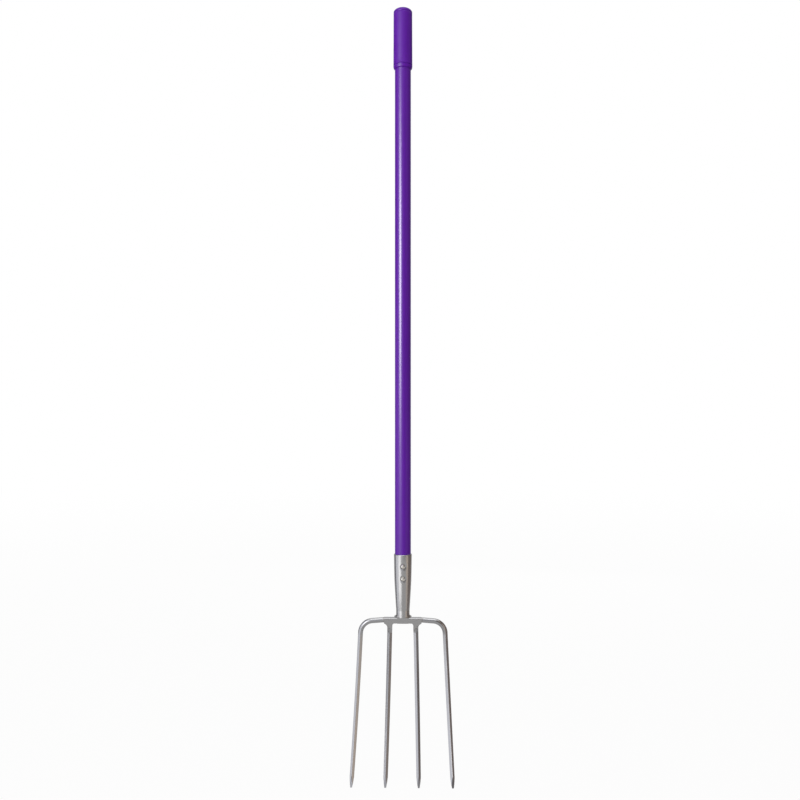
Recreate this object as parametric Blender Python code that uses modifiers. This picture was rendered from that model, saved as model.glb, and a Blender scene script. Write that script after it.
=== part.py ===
"""Manure fork: a four tined steel head on a long tubular shaft with a hand grip."""

import math

import bmesh
import bpy
from mathutils import Matrix, Vector

# Driving sizes, in metres

# Fits
joint_gap = 0.0003          # left at every face where two pieces meet
rivet_clearance = 0.0003    # round a rivet's shank and round its head

# Shaft
shaft_diameter = 0.0320
shaft_wall = 0.0013
shaft_free_length = 0.9688  # bare tube between the socket's mouth and the grip
shaft_insertion = 0.0700    # tapered end hidden in the socket
core_rise = 0.0150          # how far the inner core stands above the socket's mouth

# Grip
grip_length = 0.1221
grip_wall = 0.0026          # at the lower end, over the tube
grip_draft = 0.0003         # how much slimmer the grip is at its top
grip_dome_height = 0.0093
grip_cap_thickness = 0.0080
grip_lip_height = 0.0045
grip_lip_width = 0.0018
grip_groove_drop = 0.0072   # groove's height above the grip's lower edge
grip_groove_radius = 0.0008

# Socket
socket_height = 0.1252
socket_wall = 0.0016
socket_neck_diameter = 0.0269
socket_neck_length = 0.0130
socket_barrel_length = 0.0500   # nearly straight stretch under the mouth
socket_barrel_taper = 0.0009    # loss of radius over that stretch
socket_barrel_curve = 1.6       # power of the barrel's profile, 1 being straight
socket_cone_curve = 1.12        # power of the cone's profile below it
socket_mouth_rounding = 0.0006
socket_floor_clearance = 0.0060  # free space under the tube's end

# Rivets
upper_rivet_drop = 0.0220   # below the socket's mouth
rivet_pitch = 0.0247
rivet_shank_diameter = 0.0060
rivet_head_diameter = 0.0110
rivet_head_height = 0.0030
rivet_tail_diameter = 0.0100
rivet_tail_height = 0.0020
rivet_seat_depth = 0.0005   # how deep the heads are drawn into the socket's wall

# Crosspiece
crosspiece_height = 0.0109
crosspiece_rise = 0.0047        # its top above the axis of the outer rods
crosspiece_depth = 0.0106
crosspiece_shoulder = 0.0063    # length outside the inner tines' roots
crosspiece_bow = 0.0006         # drop of the underside's middle
crosspiece_edge_rounding = 0.0025
foot_flat = 0.0020              # left sharp between the boss and the rounded edge
boss_foot_radius = 0.0060       # the boss under the socket narrows to this at its foot
boss_rim_height = 0.0015
face_clearance = 0.0001         # flat face in front of the socket's neck

# Tines
tine_height = 0.3035        # from the tips to the axis of the outer rods
tine_dish = 0.0731          # how far the tips come forward
rod_diameter = 0.0103
rod_droop = math.radians(4.5)
bend_radius = 0.0249
outer_spread_root = 0.0830
outer_spread_tip = 0.0978
inner_spread_root = 0.0259
inner_spread_tip = 0.0321
inner_root_width = 0.0100
inner_root_length = 0.0170  # from the rods' axis down to the joint with the tine
outer_root_fillet = 0.0086
inner_root_fillet = 0.0046
tine_width = 0.0098
tine_width_at_point = 0.0082
tine_thickness = 0.0100
tine_thickness_at_point = 0.0084
point_length = 0.0180
point_curve = 0.75          # power of the point's outline, 1 being straight
point_facet_length = 0.0240
point_end_width = 0.0032
point_end_thickness = 0.0016

rod_shape = 1.0             # round
root_shape = 0.07           # nearly square
tine_shape = 1.35           # between round and diamond
outer_section_change = 0.0300   # length over which a rod becomes a tine
inner_section_change = 0.0320   # length over which a stub's section becomes a tine

# Welds
outer_weld_thickness = 0.0014
outer_weld_rise = 0.0004    # bead standing above the rod
foot_weld_width = 0.0034
foot_weld_height = 0.0048
foot_weld_edge = 0.0004
foot_weld_opening = 0.0090  # where the socket's foot lies flush with the flat face
boss_margin = 0.0002        # ledge of the boss outside the weld's toe

# Facets
round_segments = 40
rivet_segments = 20
section_sides = 16
socket_steps = 7
cone_steps = 5
bend_steps = 9
arc_steps = 7
outer_tine_steps = 12
inner_tine_steps = 10
change_stations = (0.0, 0.12, 0.25, 0.4, 0.6, 0.8)
point_stations = (1.0, 0.78, 0.55, 0.32, 0.14, 0.04, 0.0)
smooth_angle = math.radians(40)
merge_distance = 0.000005
cutter_overshoot = 0.0100   # how far a cutter reaches past what it cuts

# Heights and depths that follow from the sizes
rod_radius = rod_diameter / 2
neck_radius = socket_neck_diameter / 2
shaft_radius = shaft_diameter / 2
mouth_radius = shaft_radius + joint_gap + socket_wall
crosspiece_top = tine_height + crosspiece_rise
crosspiece_bottom = crosspiece_top - crosspiece_height
face_y = -(neck_radius + face_clearance)
rod_y = face_y + crosspiece_depth / 2
socket_foot = crosspiece_top + joint_gap
socket_mouth = socket_foot + socket_height
grip_bottom = socket_mouth + shaft_free_length
grip_top = grip_bottom + grip_length
root_centre = inner_spread_root
root_outer = root_centre + inner_root_width / 2
root_inner = root_centre - inner_root_width / 2
crosspiece_end = root_outer + crosspiece_shoulder
root_bottom = tine_height - inner_root_length
weld_inner_radius = neck_radius + joint_gap
weld_toe_radius = weld_inner_radius + foot_weld_width
boss_radius = weld_toe_radius + boss_margin

quarter_turn = [math.pi / 2 * i / arc_steps for i in range(arc_steps + 1)]

steel_colour = (0.50, 0.49, 0.48, 1.0)
weld_colour = (0.42, 0.41, 0.40, 1.0)
rivet_colour = (0.62, 0.61, 0.58, 1.0)
shaft_colour = (0.13, 0.02, 0.42, 1.0)
grip_colour = (0.16, 0.04, 0.40, 1.0)
core_colour = (0.45, 0.30, 0.16, 1.0)


def clear_scene():
    for item in list(bpy.data.objects):
        bpy.data.objects.remove(item, do_unlink=True)


def new_collection(name):
    collection = bpy.data.collections.new(name)
    bpy.context.scene.collection.children.link(collection)
    return collection


def new_material(name, colour, roughness, metallic):
    material = bpy.data.materials.new(name)
    material.use_nodes = True
    shader = material.node_tree.nodes["Principled BSDF"]
    shader.inputs["Base Color"].default_value = colour
    shader.inputs["Roughness"].default_value = roughness
    shader.inputs["Metallic"].default_value = metallic
    material.diffuse_color = colour
    return material


def mesh_object(name, mesh, collection, material=None):
    item = bpy.data.objects.new(name, mesh)
    collection.objects.link(item)
    if material is not None:
        mesh.materials.append(material)
    return item


def shade_round(mesh):
    mesh.shade_smooth()
    mesh.set_sharp_from_angle(angle=smooth_angle)


def turned(name, profile, collection, material=None, segments=round_segments, closed=True):
    """Turn (radius, height) points, listed down the outer side, about the Z axis."""
    bm = bmesh.new()
    verts = [bm.verts.new((radius, 0.0, height)) for radius, height in profile]
    count = len(verts)
    for i in range(count if closed else count - 1):
        bm.edges.new((verts[i], verts[(i + 1) % count]))
    mesh = bpy.data.meshes.new(name)
    bm.to_mesh(mesh)
    bm.free()
    item = mesh_object(name, mesh, collection, material)
    screw = item.modifiers.new("turn", "SCREW")
    screw.steps = segments
    screw.render_steps = segments
    screw.use_merge_vertices = True
    screw.merge_threshold = merge_distance
    screw.use_smooth_shade = True
    return item


def extruded_outline(name, points, half_thickness, collection):
    """Closed mesh from a flat outline in XY, given thickness along Z both ways."""
    curve = bpy.data.curves.new(name + "_outline", "CURVE")
    curve.dimensions = "2D"
    curve.fill_mode = "BOTH"
    curve.extrude = half_thickness
    spline = curve.splines.new("POLY")
    spline.points.add(len(points) - 1)
    for target, (x, y) in zip(spline.points, points):
        target.co = (x, y, 0.0, 1.0)
    spline.use_cyclic_u = True
    outline = bpy.data.objects.new(name + "_outline", curve)
    collection.objects.link(outline)
    bpy.context.view_layer.update()
    depsgraph = bpy.context.evaluated_depsgraph_get()
    mesh = bpy.data.meshes.new_from_object(outline.evaluated_get(depsgraph))
    mesh.name = name
    bm = bmesh.new()
    bm.from_mesh(mesh)
    bmesh.ops.remove_doubles(bm, verts=bm.verts, dist=merge_distance)
    bmesh.ops.recalc_face_normals(bm, faces=bm.faces)
    bm.to_mesh(mesh)
    bm.free()
    mesh.shade_flat()
    item = mesh_object(name, mesh, collection)
    item.matrix_world = outline.matrix_world.copy()
    bpy.data.objects.remove(outline, do_unlink=True)
    bpy.data.curves.remove(curve)
    return item


def as_cutter(item):
    item.hide_render = True
    item.display_type = "WIRE"
    return item


def add_boolean(item, cutter, operation, name):
    boolean = item.modifiers.new(name, "BOOLEAN")
    boolean.operation = operation
    boolean.object = cutter
    boolean.solver = "EXACT"


def box_cutter(name, low, high, collection):
    bm = bmesh.new()
    bmesh.ops.create_cube(bm, size=1.0)
    mesh = bpy.data.meshes.new(name)
    size = [b - a for a, b in zip(low, high)]
    middle = [(a + b) / 2 for a, b in zip(low, high)]
    bmesh.ops.transform(bm, matrix=Matrix.Diagonal((*size, 1.0)), verts=bm.verts)
    bm.to_mesh(mesh)
    bm.free()
    item = mesh_object(name, mesh, collection)
    item.location = middle
    return as_cutter(item)


def arc_points(centre, radius, start, end, steps):
    """Points on a circular arc, both ends included."""
    points = []
    for i in range(steps + 1):
        angle = start + (end - start) * i / steps
        points.append((centre[0] + radius * math.cos(angle), centre[1] + radius * math.sin(angle)))
    return points


# Socket and what it holds

def socket_radius(drop):
    """Outer radius at a distance below the mouth."""
    shoulder_radius = mouth_radius - socket_barrel_taper
    if drop <= socket_barrel_length:
        share = max(drop, 0.0) / socket_barrel_length
        return mouth_radius - socket_barrel_taper * share ** socket_barrel_curve
    cone_length = socket_height - socket_neck_length - socket_barrel_length
    share = min((drop - socket_barrel_length) / cone_length, 1.0)
    return shoulder_radius - (shoulder_radius - neck_radius) * share ** socket_cone_curve


def socket_bore_radius(drop):
    return socket_radius(drop) - socket_wall


def tube_radius(drop):
    """Outer radius of the shaft, tapered to lie against the socket's bore."""
    return min(shaft_radius, socket_bore_radius(drop) - joint_gap)


def drops(start, end, steps):
    return [start + (end - start) * i / steps for i in range(steps + 1)]


def make_socket(collection, cutters, material):
    cone_end = socket_height - socket_neck_length
    bore_depth = shaft_insertion + socket_floor_clearance
    bore_steps = drops(0.0, shaft_insertion, socket_steps)
    rounding = socket_mouth_rounding
    outer = [(0.0, socket_mouth)]
    outer += arc_points((mouth_radius - rounding, socket_mouth - rounding), rounding, math.pi / 2, 0.0, 2)
    outer += [(socket_radius(drop), socket_mouth - drop) for drop in bore_steps[1:]]
    outer += [(socket_radius(drop), socket_mouth - drop)
              for drop in drops(shaft_insertion, cone_end, cone_steps)[1:]]
    outer += [(neck_radius, socket_foot), (0.0, socket_foot)]
    floor_radius = socket_bore_radius(bore_depth)
    inner = [(0.0, socket_mouth - bore_depth), (floor_radius, socket_mouth - bore_depth)]
    inner += [(socket_bore_radius(drop), socket_mouth - drop) for drop in reversed(bore_steps)]
    socket = turned("socket", outer, collection, material, closed=False)
    hollow = turned("socket_hollow", hollow_profile(inner), cutters, closed=False)
    add_boolean(socket, as_cutter(hollow), "DIFFERENCE", "hollow")
    return socket


def hollow_profile(inner):
    """The bore as a solid of its own, open past the mouth, listed from its top down."""
    top_radius, top = inner[-1]
    above = top + cutter_overshoot
    return [(0.0, above), (top_radius, above)] + list(reversed(inner))


def make_shaft(collection, material):
    top = grip_top - grip_cap_thickness - joint_gap
    steps = drops(0.0, shaft_insertion, socket_steps)
    outer = [(shaft_radius, top)]
    outer += [(tube_radius(drop), socket_mouth - drop) for drop in steps]
    inner = [(radius - shaft_wall, height) for radius, height in reversed(outer)]
    return turned("shaft", outer + inner, collection, material)


def make_core(collection, material):
    steps = drops(-core_rise, shaft_insertion, socket_steps + 2)
    side = [(tube_radius(drop) - shaft_wall - joint_gap, socket_mouth - drop) for drop in steps]
    profile = [(0.0, side[0][1])] + side + [(0.0, side[-1][1])]
    return turned("shaft_core", profile, collection, material, closed=False)


def make_rivet(name, drop, collection, material):
    """Domed head in front, shank through the wall, formed tail behind."""
    seat = socket_radius(drop) - rivet_seat_depth + joint_gap
    shank_radius = rivet_shank_diameter / 2
    head_radius = rivet_head_diameter / 2
    tail_radius = rivet_tail_diameter / 2
    head = [(head_radius * math.sin(a), seat + rivet_head_height * math.cos(a))
            for a in quarter_turn]
    tail = [(tail_radius * math.sin(a), -seat - rivet_tail_height * math.cos(a))
            for a in reversed(quarter_turn)]
    profile = head + [(shank_radius, seat), (shank_radius, -seat)] + tail
    rivet = turned(name, profile, collection, material, segments=rivet_segments, closed=False)
    rivet.rotation_euler = (math.pi / 2, 0.0, 0.0)
    rivet.location = (0.0, 0.0, socket_mouth - drop)
    return rivet


def drill_for_rivets(socket, shaft, core, cutters):
    """Through holes with the dished seats that the heads are drawn into."""
    reach = mouth_radius + cutter_overshoot
    shank_hole = rivet_shank_diameter / 2 + rivet_clearance
    head_hole = rivet_head_diameter / 2 + rivet_clearance
    tail_hole = rivet_tail_diameter / 2 + rivet_clearance
    half_facet = math.pi / rivet_segments
    for label, drop in (("upper", upper_rivet_drop), ("lower", upper_rivet_drop + rivet_pitch)):
        seat = socket_radius(drop) - rivet_seat_depth
        profile = [(0.0, reach), (head_hole, reach), (head_hole, seat), (shank_hole, seat),
                   (shank_hole, -seat), (tail_hole, -seat), (tail_hole, -reach), (0.0, -reach)]
        drill = turned(label + "_rivet_drill", profile, cutters, segments=rivet_segments, closed=False)
        drill.rotation_euler = (math.pi / 2, half_facet, 0.0)
        drill.location = (0.0, 0.0, socket_mouth - drop)
        as_cutter(drill)
        for item in (socket, shaft, core):
            add_boolean(item, drill, "DIFFERENCE", label + "_rivet")


# Grip

def make_grip(collection, material):
    """Moulded cap grip: domed crown, slight draft, a groove and a rounded lip below."""
    bore = shaft_radius + joint_gap
    lower_radius = bore + grip_wall
    upper_radius = lower_radius - grip_draft
    dome_foot = grip_top - grip_dome_height
    groove = grip_bottom + grip_groove_drop
    dome = [(upper_radius * math.sin(a), dome_foot + grip_dome_height * math.cos(a)) for a in quarter_turn]
    notch = arc_points((lower_radius, groove), grip_groove_radius, math.pi / 2, math.pi * 1.5, arc_steps)
    lip = [(lower_radius - grip_lip_width * (1 - math.cos(a)),
            grip_bottom + grip_lip_height * (1 - math.sin(a))) for a in quarter_turn]
    ceiling = grip_top - grip_cap_thickness
    profile = dome + notch + lip
    profile += [(bore, grip_bottom), (bore, ceiling), (0.0, ceiling)]
    return turned("grip", profile, collection, material, closed=False)


# Crosspiece and its welds

def half_front_outline():
    """Right half of the crosspiece seen from the front, from top centre to bottom centre."""
    top = crosspiece_rise
    bottom = crosspiece_rise - crosspiece_height
    joint = -inner_root_length
    outer_centre = (root_outer + outer_root_fillet, -rod_radius - outer_root_fillet)
    reach = min(crosspiece_shoulder, outer_root_fillet)
    start = math.acos((reach - outer_root_fillet) / outer_root_fillet)
    points = [(crosspiece_end, top)]
    if crosspiece_shoulder > outer_root_fillet:
        points.append((crosspiece_end, -rod_radius))
    points += arc_points(outer_centre, outer_root_fillet, start, math.pi, arc_steps)
    points += [(root_outer, joint), (root_inner, joint)]
    inner_centre = (root_inner - inner_root_fillet, bottom - inner_root_fillet)
    points += arc_points(inner_centre, inner_root_fillet, 0.0, math.pi / 2, arc_steps)
    span = inner_centre[0]
    for i in range(arc_steps - 1, -1, -1):
        share = i / arc_steps
        points.append((span * share, bottom - crosspiece_bow * (1 - share ** 2)))
    return points


def make_depth_limit(cutters):
    """The bar's depth joined to the round boss that carries the socket's foot."""
    past = cutter_overshoot
    reach = crosspiece_end + past
    bar = box_cutter("bar_depth", (-reach, face_y - past, root_bottom - past),
                     (reach, face_y + crosspiece_depth, crosspiece_top + past), cutters)
    rim = crosspiece_top - boss_rim_height
    bowl_height = crosspiece_height - boss_rim_height - joint_gap
    profile = [(0.0, crosspiece_top + past), (boss_radius, crosspiece_top + past)]
    for angle in quarter_turn:
        radius = boss_foot_radius + (boss_radius - boss_foot_radius) * math.cos(angle)
        profile.append((radius, rim - bowl_height * math.sin(angle)))
    profile.append((0.0, rim - bowl_height))
    boss = turned("boss", profile, cutters, closed=False)
    add_boolean(bar, as_cutter(boss), "UNION", "boss")
    return bar


def make_crosspiece(collection, cutters, material):
    """Flat fronted bar with a stub for each inner tine and a boss under the socket."""
    half = half_front_outline()
    outline = half + [(-x, z) for x, z in reversed(half[:-1])]
    half_reach = (boss_radius - face_y) / 2 + joint_gap
    crosspiece = extruded_outline("crosspiece", outline, half_reach, collection)
    crosspiece.data.materials.append(material)
    crosspiece.rotation_euler = (math.pi / 2, 0.0, 0.0)
    crosspiece.location = (0.0, face_y + half_reach, tine_height)
    add_boolean(crosspiece, make_depth_limit(cutters), "INTERSECT", "depth")

    # The bar's upper front edge is rounded on either side of the socket's foot
    radius = crosspiece_edge_rounding
    outside = cutter_overshoot
    profile = [(face_y - outside, crosspiece_top + outside),
               (face_y - outside, crosspiece_top - radius)]
    centre = (face_y + radius, crosspiece_top - radius)
    profile += arc_points(centre, radius, math.pi, math.pi / 2, arc_steps)
    profile.append((face_y + radius, crosspiece_top + outside))
    start = math.sqrt(boss_radius ** 2 - face_y ** 2) + foot_flat
    length = crosspiece_end + outside - start
    for label, side in (("right", 1), ("left", -1)):
        edge = extruded_outline("edge_" + label, profile, length / 2, cutters)
        edge.rotation_euler = (math.pi / 2, 0.0, math.pi / 2)
        edge.location = (side * (start + length / 2), 0.0, 0.0)
        add_boolean(crosspiece, as_cutter(edge), "DIFFERENCE", "edge_" + label)
    return crosspiece


def make_foot_weld(collection, cutters, material):
    """Fillet weld round the socket's foot, open where the foot is flush with the flat face."""
    base = crosspiece_top + joint_gap
    toe = weld_toe_radius
    profile = [(toe - foot_weld_width * math.cos(a),
                base + foot_weld_height - (foot_weld_height - foot_weld_edge) * math.sin(a))
               for a in quarter_turn]
    profile += [(toe, base), (weld_inner_radius, base)]
    weld = turned("foot_weld", profile, collection, material)
    past = cutter_overshoot
    low = base - past
    high = base + foot_weld_height + past
    front = box_cutter("foot_weld_front", (-toe - past, -toe - past, low),
                       (toe + past, face_y + face_clearance, high), cutters)
    half = foot_weld_opening / 2
    opening = box_cutter("foot_weld_gap", (-half, -toe - past, low), (half, 0.0, high), cutters)
    add_boolean(weld, front, "DIFFERENCE", "front")
    add_boolean(weld, opening, "DIFFERENCE", "opening")
    return weld


def make_outer_weld(name, side, collection, material):
    """Butt weld between the crosspiece's end and an outer rod."""
    half = outer_weld_thickness / 2
    crown = rod_radius + outer_weld_rise
    profile = [(0.0, half)]
    profile += arc_points((crown - half, 0.0), half, math.pi / 2, -math.pi / 2, arc_steps)
    profile.append((0.0, -half))
    weld = turned(name, profile, collection, material, closed=False)
    weld.rotation_euler = (0.0, math.pi / 2, 0.0)
    weld.location = (side * (crosspiece_end + joint_gap + half), rod_y, tine_height)
    return weld


# Tines

def dish_depth(z):
    """Depth of a tine's centre line: straight down, then an even curve forward."""
    height = root_bottom
    radius = (tine_dish ** 2 + height ** 2) / (2 * tine_dish)
    drop = min(max(root_bottom - z, 0.0), height)
    return rod_y - (radius - math.sqrt(radius ** 2 - drop ** 2))


def section_ring(point, along, half_width, half_thickness, shape, facet):
    """Section across the path, cut off flat in front and behind at the facet's distance.

    A shape of 0 is a rectangle, 1 an ellipse and 2 a diamond, with rounded forms between.
    """
    forward = Vector((0.0, -1.0, 0.0))
    side = along.cross(forward).normalized()
    normal = side.cross(along).normalized()
    ring = []
    for i in range(section_sides):
        angle = 2 * math.pi * i / section_sides
        cosine = math.cos(angle)
        sine = math.sin(angle)
        u = math.copysign(half_width * abs(cosine) ** shape, cosine)
        v = math.copysign(half_thickness * abs(sine) ** shape, sine)
        v = min(max(v, -facet), facet)
        ring.append(point + side * u + normal * v)
    return ring


def loft(name, rings, collection, material, origin):
    """Skin a row of rings and close both ends."""
    bm = bmesh.new()
    loops = [[bm.verts.new(point - origin) for point in ring] for ring in rings]
    for first, second in zip(loops, loops[1:]):
        for i in range(section_sides):
            j = (i + 1) % section_sides
            bm.faces.new((first[i], first[j], second[j], second[i]))
    bm.faces.new(loops[0])
    bm.faces.new(list(reversed(loops[-1])))
    bmesh.ops.recalc_face_normals(bm, faces=bm.faces)
    mesh = bpy.data.meshes.new(name)
    bm.to_mesh(mesh)
    bm.free()
    shade_round(mesh)
    item = mesh_object(name, mesh, collection, material)
    item.location = origin
    return item


def blend(start, end, share):
    share = min(max(share, 0.0), 1.0)
    smooth = share * share * (3 - 2 * share)
    return start + (end - start) * smooth


def sweep_tine(name, path, start_direction, section_at, collection, material):
    """Loft a tine along its path, its first face square to start_direction.

    section_at gives half width, half thickness and shape at a distance from the start.
    """
    lengths = [0.0]
    for first, second in zip(path, path[1:]):
        lengths.append(lengths[-1] + (second - first).length)
    total = lengths[-1]
    rings = []
    for i, point in enumerate(path):
        before = path[max(i - 1, 0)]
        after = path[min(i + 1, len(path) - 1)]
        along = (after - before).normalized() if i else start_direction
        half_width, half_thickness, shape = section_at(lengths[i], total)
        to_end = total - lengths[i]
        point_share = min(to_end / point_length, 1.0)
        end_half_width = point_end_width / 2
        end_half_thickness = point_end_thickness / 2
        half_width = end_half_width + (half_width - end_half_width) * point_share ** point_curve
        facet_share = min(to_end / point_facet_length, 1.0)
        facet = end_half_thickness + (half_thickness - end_half_thickness) * facet_share
        rings.append(section_ring(point, along, half_width, half_thickness, shape, facet))
    return loft(name, rings, collection, material, path[0])


def stations_below(start, steps):
    """Heights from a start down to the tips, closer together along the ground point."""
    point_start = max(point_facet_length, point_length)
    body = [start + (point_start - start) * i / steps for i in range(steps)]
    return body + [point_start * share for share in point_stations]


def outer_path(side):
    """Centre line of an outer tine: rod, bend, then the dished and splayed tine."""
    begin = crosspiece_end + outer_weld_thickness + 2 * joint_gap
    slope = math.tan(rod_droop)
    splay = (outer_spread_tip - outer_spread_root) / tine_height
    # Where the rod's line meets the tine's line, with drop counted from the rods' axis
    corner_drop = slope * (outer_spread_root - begin) / (1 - slope * splay)
    corner_x = outer_spread_root + splay * corner_drop
    tine_angle = math.atan(splay)
    turn = math.pi / 2 - rod_droop - tine_angle
    tangent = bend_radius * math.tan(turn / 2)
    bend_x = corner_x - tangent * math.cos(rod_droop)
    bend_z = tine_height - corner_drop + tangent * math.sin(rod_droop)
    centre_x = bend_x - bend_radius * math.sin(rod_droop)
    centre_z = bend_z - bend_radius * math.cos(rod_droop)
    flat = [(begin, tine_height), ((begin + bend_x) / 2, (tine_height + bend_z) / 2)]
    flat += arc_points((centre_x, centre_z), bend_radius, math.pi / 2 - rod_droop, tine_angle, bend_steps)
    bend_end = flat[-1][1]
    for z in stations_below(bend_end, outer_tine_steps)[1:]:
        flat.append((outer_spread_root + splay * (tine_height - z), z))
    return [Vector((side * x, dish_depth(z), z)) for x, z in flat]


def inner_path(side):
    """Centre line of an inner tine from the crosspiece's stub to its tip."""
    splay = (inner_spread_tip - inner_spread_root) / tine_height
    top = root_bottom - joint_gap
    changing = [top - inner_section_change * share for share in change_stations]
    heights = changing + stations_below(top - inner_section_change, inner_tine_steps)
    path = []
    for z in heights:
        path.append(Vector((side * (inner_spread_root + splay * inner_root_drop(z)), dish_depth(z), z)))
    return path


def inner_root_drop(z):
    """Distance under the stub's joint over which an inner tine has splayed out."""
    return max(root_bottom - z, 0.0) * tine_height / root_bottom


def tine_section(share):
    """Half width and half thickness along the plain part of a tine, share 0 to 1."""
    width = tine_width + (tine_width_at_point - tine_width) * share
    thickness = tine_thickness + (tine_thickness_at_point - tine_thickness) * share
    return width / 2, thickness / 2


def make_outer_tine(name, side, collection, material):
    path = outer_path(side)
    rod_length = (path[1] - path[0]).length * 2 + bend_radius * math.pi / 2

    def section_at(distance, total):
        share = min(max((distance - rod_length) / (total - rod_length), 0.0), 1.0)
        half_width, half_thickness = tine_section(share)
        change = (distance - rod_length) / outer_section_change
        return (blend(rod_radius, half_width, change), blend(rod_radius, half_thickness, change),
                blend(rod_shape, tine_shape, change))

    return sweep_tine(name, path, Vector((side, 0.0, 0.0)), section_at, collection, material)


def make_inner_tine(name, side, collection, material):
    path = inner_path(side)

    def section_at(distance, total):
        half_width, half_thickness = tine_section(distance / total)
        change = distance / inner_section_change
        return (blend(inner_root_width / 2, half_width, change),
                blend(crosspiece_depth / 2, half_thickness, change),
                blend(root_shape, tine_shape, change))

    return sweep_tine(name, path, Vector((0.0, 0.0, -1.0)), section_at, collection, material)


def stand_on_origin(parts, frame):
    """Move the whole fork so that the bottom centre of its box is the origin."""
    bpy.context.view_layer.update()
    depsgraph = bpy.context.evaluated_depsgraph_get()
    corners = []
    for item in parts.objects:
        if item.type != "MESH":
            continue
        evaluated = item.evaluated_get(depsgraph)
        corners += [evaluated.matrix_world @ Vector(corner) for corner in evaluated.bound_box]
    low = [min(corner[i] for corner in corners) for i in range(3)]
    high = [max(corner[i] for corner in corners) for i in range(3)]
    frame.location = (-(low[0] + high[0]) / 2, -(low[1] + high[1]) / 2, -low[2])
    bpy.context.view_layer.update()


def build():
    clear_scene()
    parts = new_collection("manure_fork")
    cutters = new_collection("cutters")
    steel = new_material("satin_steel", steel_colour, roughness=0.32, metallic=1.0)
    weld_steel = new_material("weld_steel", weld_colour, roughness=0.42, metallic=1.0)
    rivet_steel = new_material("rivet_steel", rivet_colour, roughness=0.25, metallic=1.0)
    shaft_paint = new_material("gloss_purple_coat", shaft_colour, roughness=0.18, metallic=0.0)
    grip_plastic = new_material("satin_purple_plastic", grip_colour, roughness=0.45, metallic=0.0)
    core_wood = new_material("core_wood", core_colour, roughness=0.70, metallic=0.0)

    grip = make_grip(parts, grip_plastic)
    shaft = make_shaft(parts, shaft_paint)
    core = make_core(parts, core_wood)
    socket = make_socket(parts, cutters, steel)
    drill_for_rivets(socket, shaft, core, cutters)
    pieces = [grip, shaft, core, socket]
    pieces.append(make_rivet("upper_rivet", upper_rivet_drop, parts, rivet_steel))
    pieces.append(make_rivet("lower_rivet", upper_rivet_drop + rivet_pitch, parts, rivet_steel))
    pieces.append(make_crosspiece(parts, cutters, steel))
    pieces.append(make_foot_weld(parts, cutters, weld_steel))
    for label, side in (("left", -1), ("right", 1)):
        pieces.append(make_outer_weld("outer_weld_" + label, side, parts, weld_steel))
        pieces.append(make_outer_tine("outer_tine_" + label, side, parts, steel))
        pieces.append(make_inner_tine("inner_tine_" + label, side, parts, steel))

    frame = bpy.data.objects.new("fork_frame", None)
    parts.objects.link(frame)
    for item in pieces + list(cutters.objects):
        item.parent = frame
    stand_on_origin(parts, frame)


build()
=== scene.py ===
# %% [markdown]
# # A manure fork for the stable yard
# The real tool is about one and a half metres long: a purple coated steel tube with a moulded
# cap grip, and a forged head whose four dished tines are welded to a flat bar under a tapered
# socket. A plain working model of it exists already, with every piece in its place. This lesson
# loads that model first and then makes every piece that shows again, with its real shape and
# finish. Each new piece goes where its plain solid is, so the working model stays the frame of
# it all.

# %% Load the working model
import math

import bmesh
import bpy
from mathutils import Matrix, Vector


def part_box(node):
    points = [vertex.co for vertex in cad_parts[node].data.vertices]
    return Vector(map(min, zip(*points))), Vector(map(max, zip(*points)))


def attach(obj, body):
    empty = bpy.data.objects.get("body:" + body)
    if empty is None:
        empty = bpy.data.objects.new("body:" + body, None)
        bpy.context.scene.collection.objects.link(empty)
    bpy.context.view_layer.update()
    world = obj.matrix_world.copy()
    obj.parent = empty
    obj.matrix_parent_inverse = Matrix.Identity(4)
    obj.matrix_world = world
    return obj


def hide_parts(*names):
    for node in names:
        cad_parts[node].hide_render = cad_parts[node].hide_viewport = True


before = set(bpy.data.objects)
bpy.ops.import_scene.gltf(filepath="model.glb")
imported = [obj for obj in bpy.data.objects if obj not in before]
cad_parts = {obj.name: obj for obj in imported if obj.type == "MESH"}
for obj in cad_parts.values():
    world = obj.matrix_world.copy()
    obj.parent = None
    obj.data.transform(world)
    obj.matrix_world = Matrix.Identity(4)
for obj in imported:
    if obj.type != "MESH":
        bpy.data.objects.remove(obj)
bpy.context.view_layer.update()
MM = 0.001
print("nodes:", sorted(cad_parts))

# %% [markdown]
# ## Where things are
# The front of the fork faces -Y and the shaft runs up Z. The places could be typed in again as
# numbers, but then a change to the working model would leave the new pieces behind. So the plain
# solids themselves say where the shaft's axis is and how high the head, the socket and the grip
# reach, and only small sizes that a solid's box can't tell are written here.

# %% Read the main places from the plain solids
shaft_low, shaft_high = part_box("shaft")
socket_low, socket_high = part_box("socket")
grip_low, grip_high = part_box("grip")
bar_low, bar_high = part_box("crosspiece")
inner_low, inner_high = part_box("inner_tine_right")
bead_low, bead_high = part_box("outer_weld_right")
fillet_low, fillet_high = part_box("foot_weld")
rod_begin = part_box("outer_tine_right")[0].x
axis_y = (shaft_low.y + shaft_high.y) / 2
face_y = bar_low.y
rod_y = (bead_low.y + bead_high.y) / 2
rod_z = (bead_low.z + bead_high.z) / 2
print("shaft axis at y = %.2f mm, flat face at %.2f mm" % (axis_y / MM, face_y / MM))
print("rods at y = %.2f mm, z = %.2f mm" % (rod_y / MM, rod_z / MM))

# %% [markdown]
# ## Helpers
# The pieces are made as by hand: a primitive is added, shaped in edit mode and finished with
# modifiers. With a mouse you would click what to change. A script has no mouse, so it picks
# faces, edges and points by their place instead. The other helpers saw along a plane, turn a
# round piece up ring by ring, and put a finished piece in its place.

# %% Picking and measuring in edit mode
SLACK = 0.01 * MM


def at(value, wanted, slack=SLACK):
    """Whether a coordinate lies at a wanted place."""
    return abs(value - wanted) < slack


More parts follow.
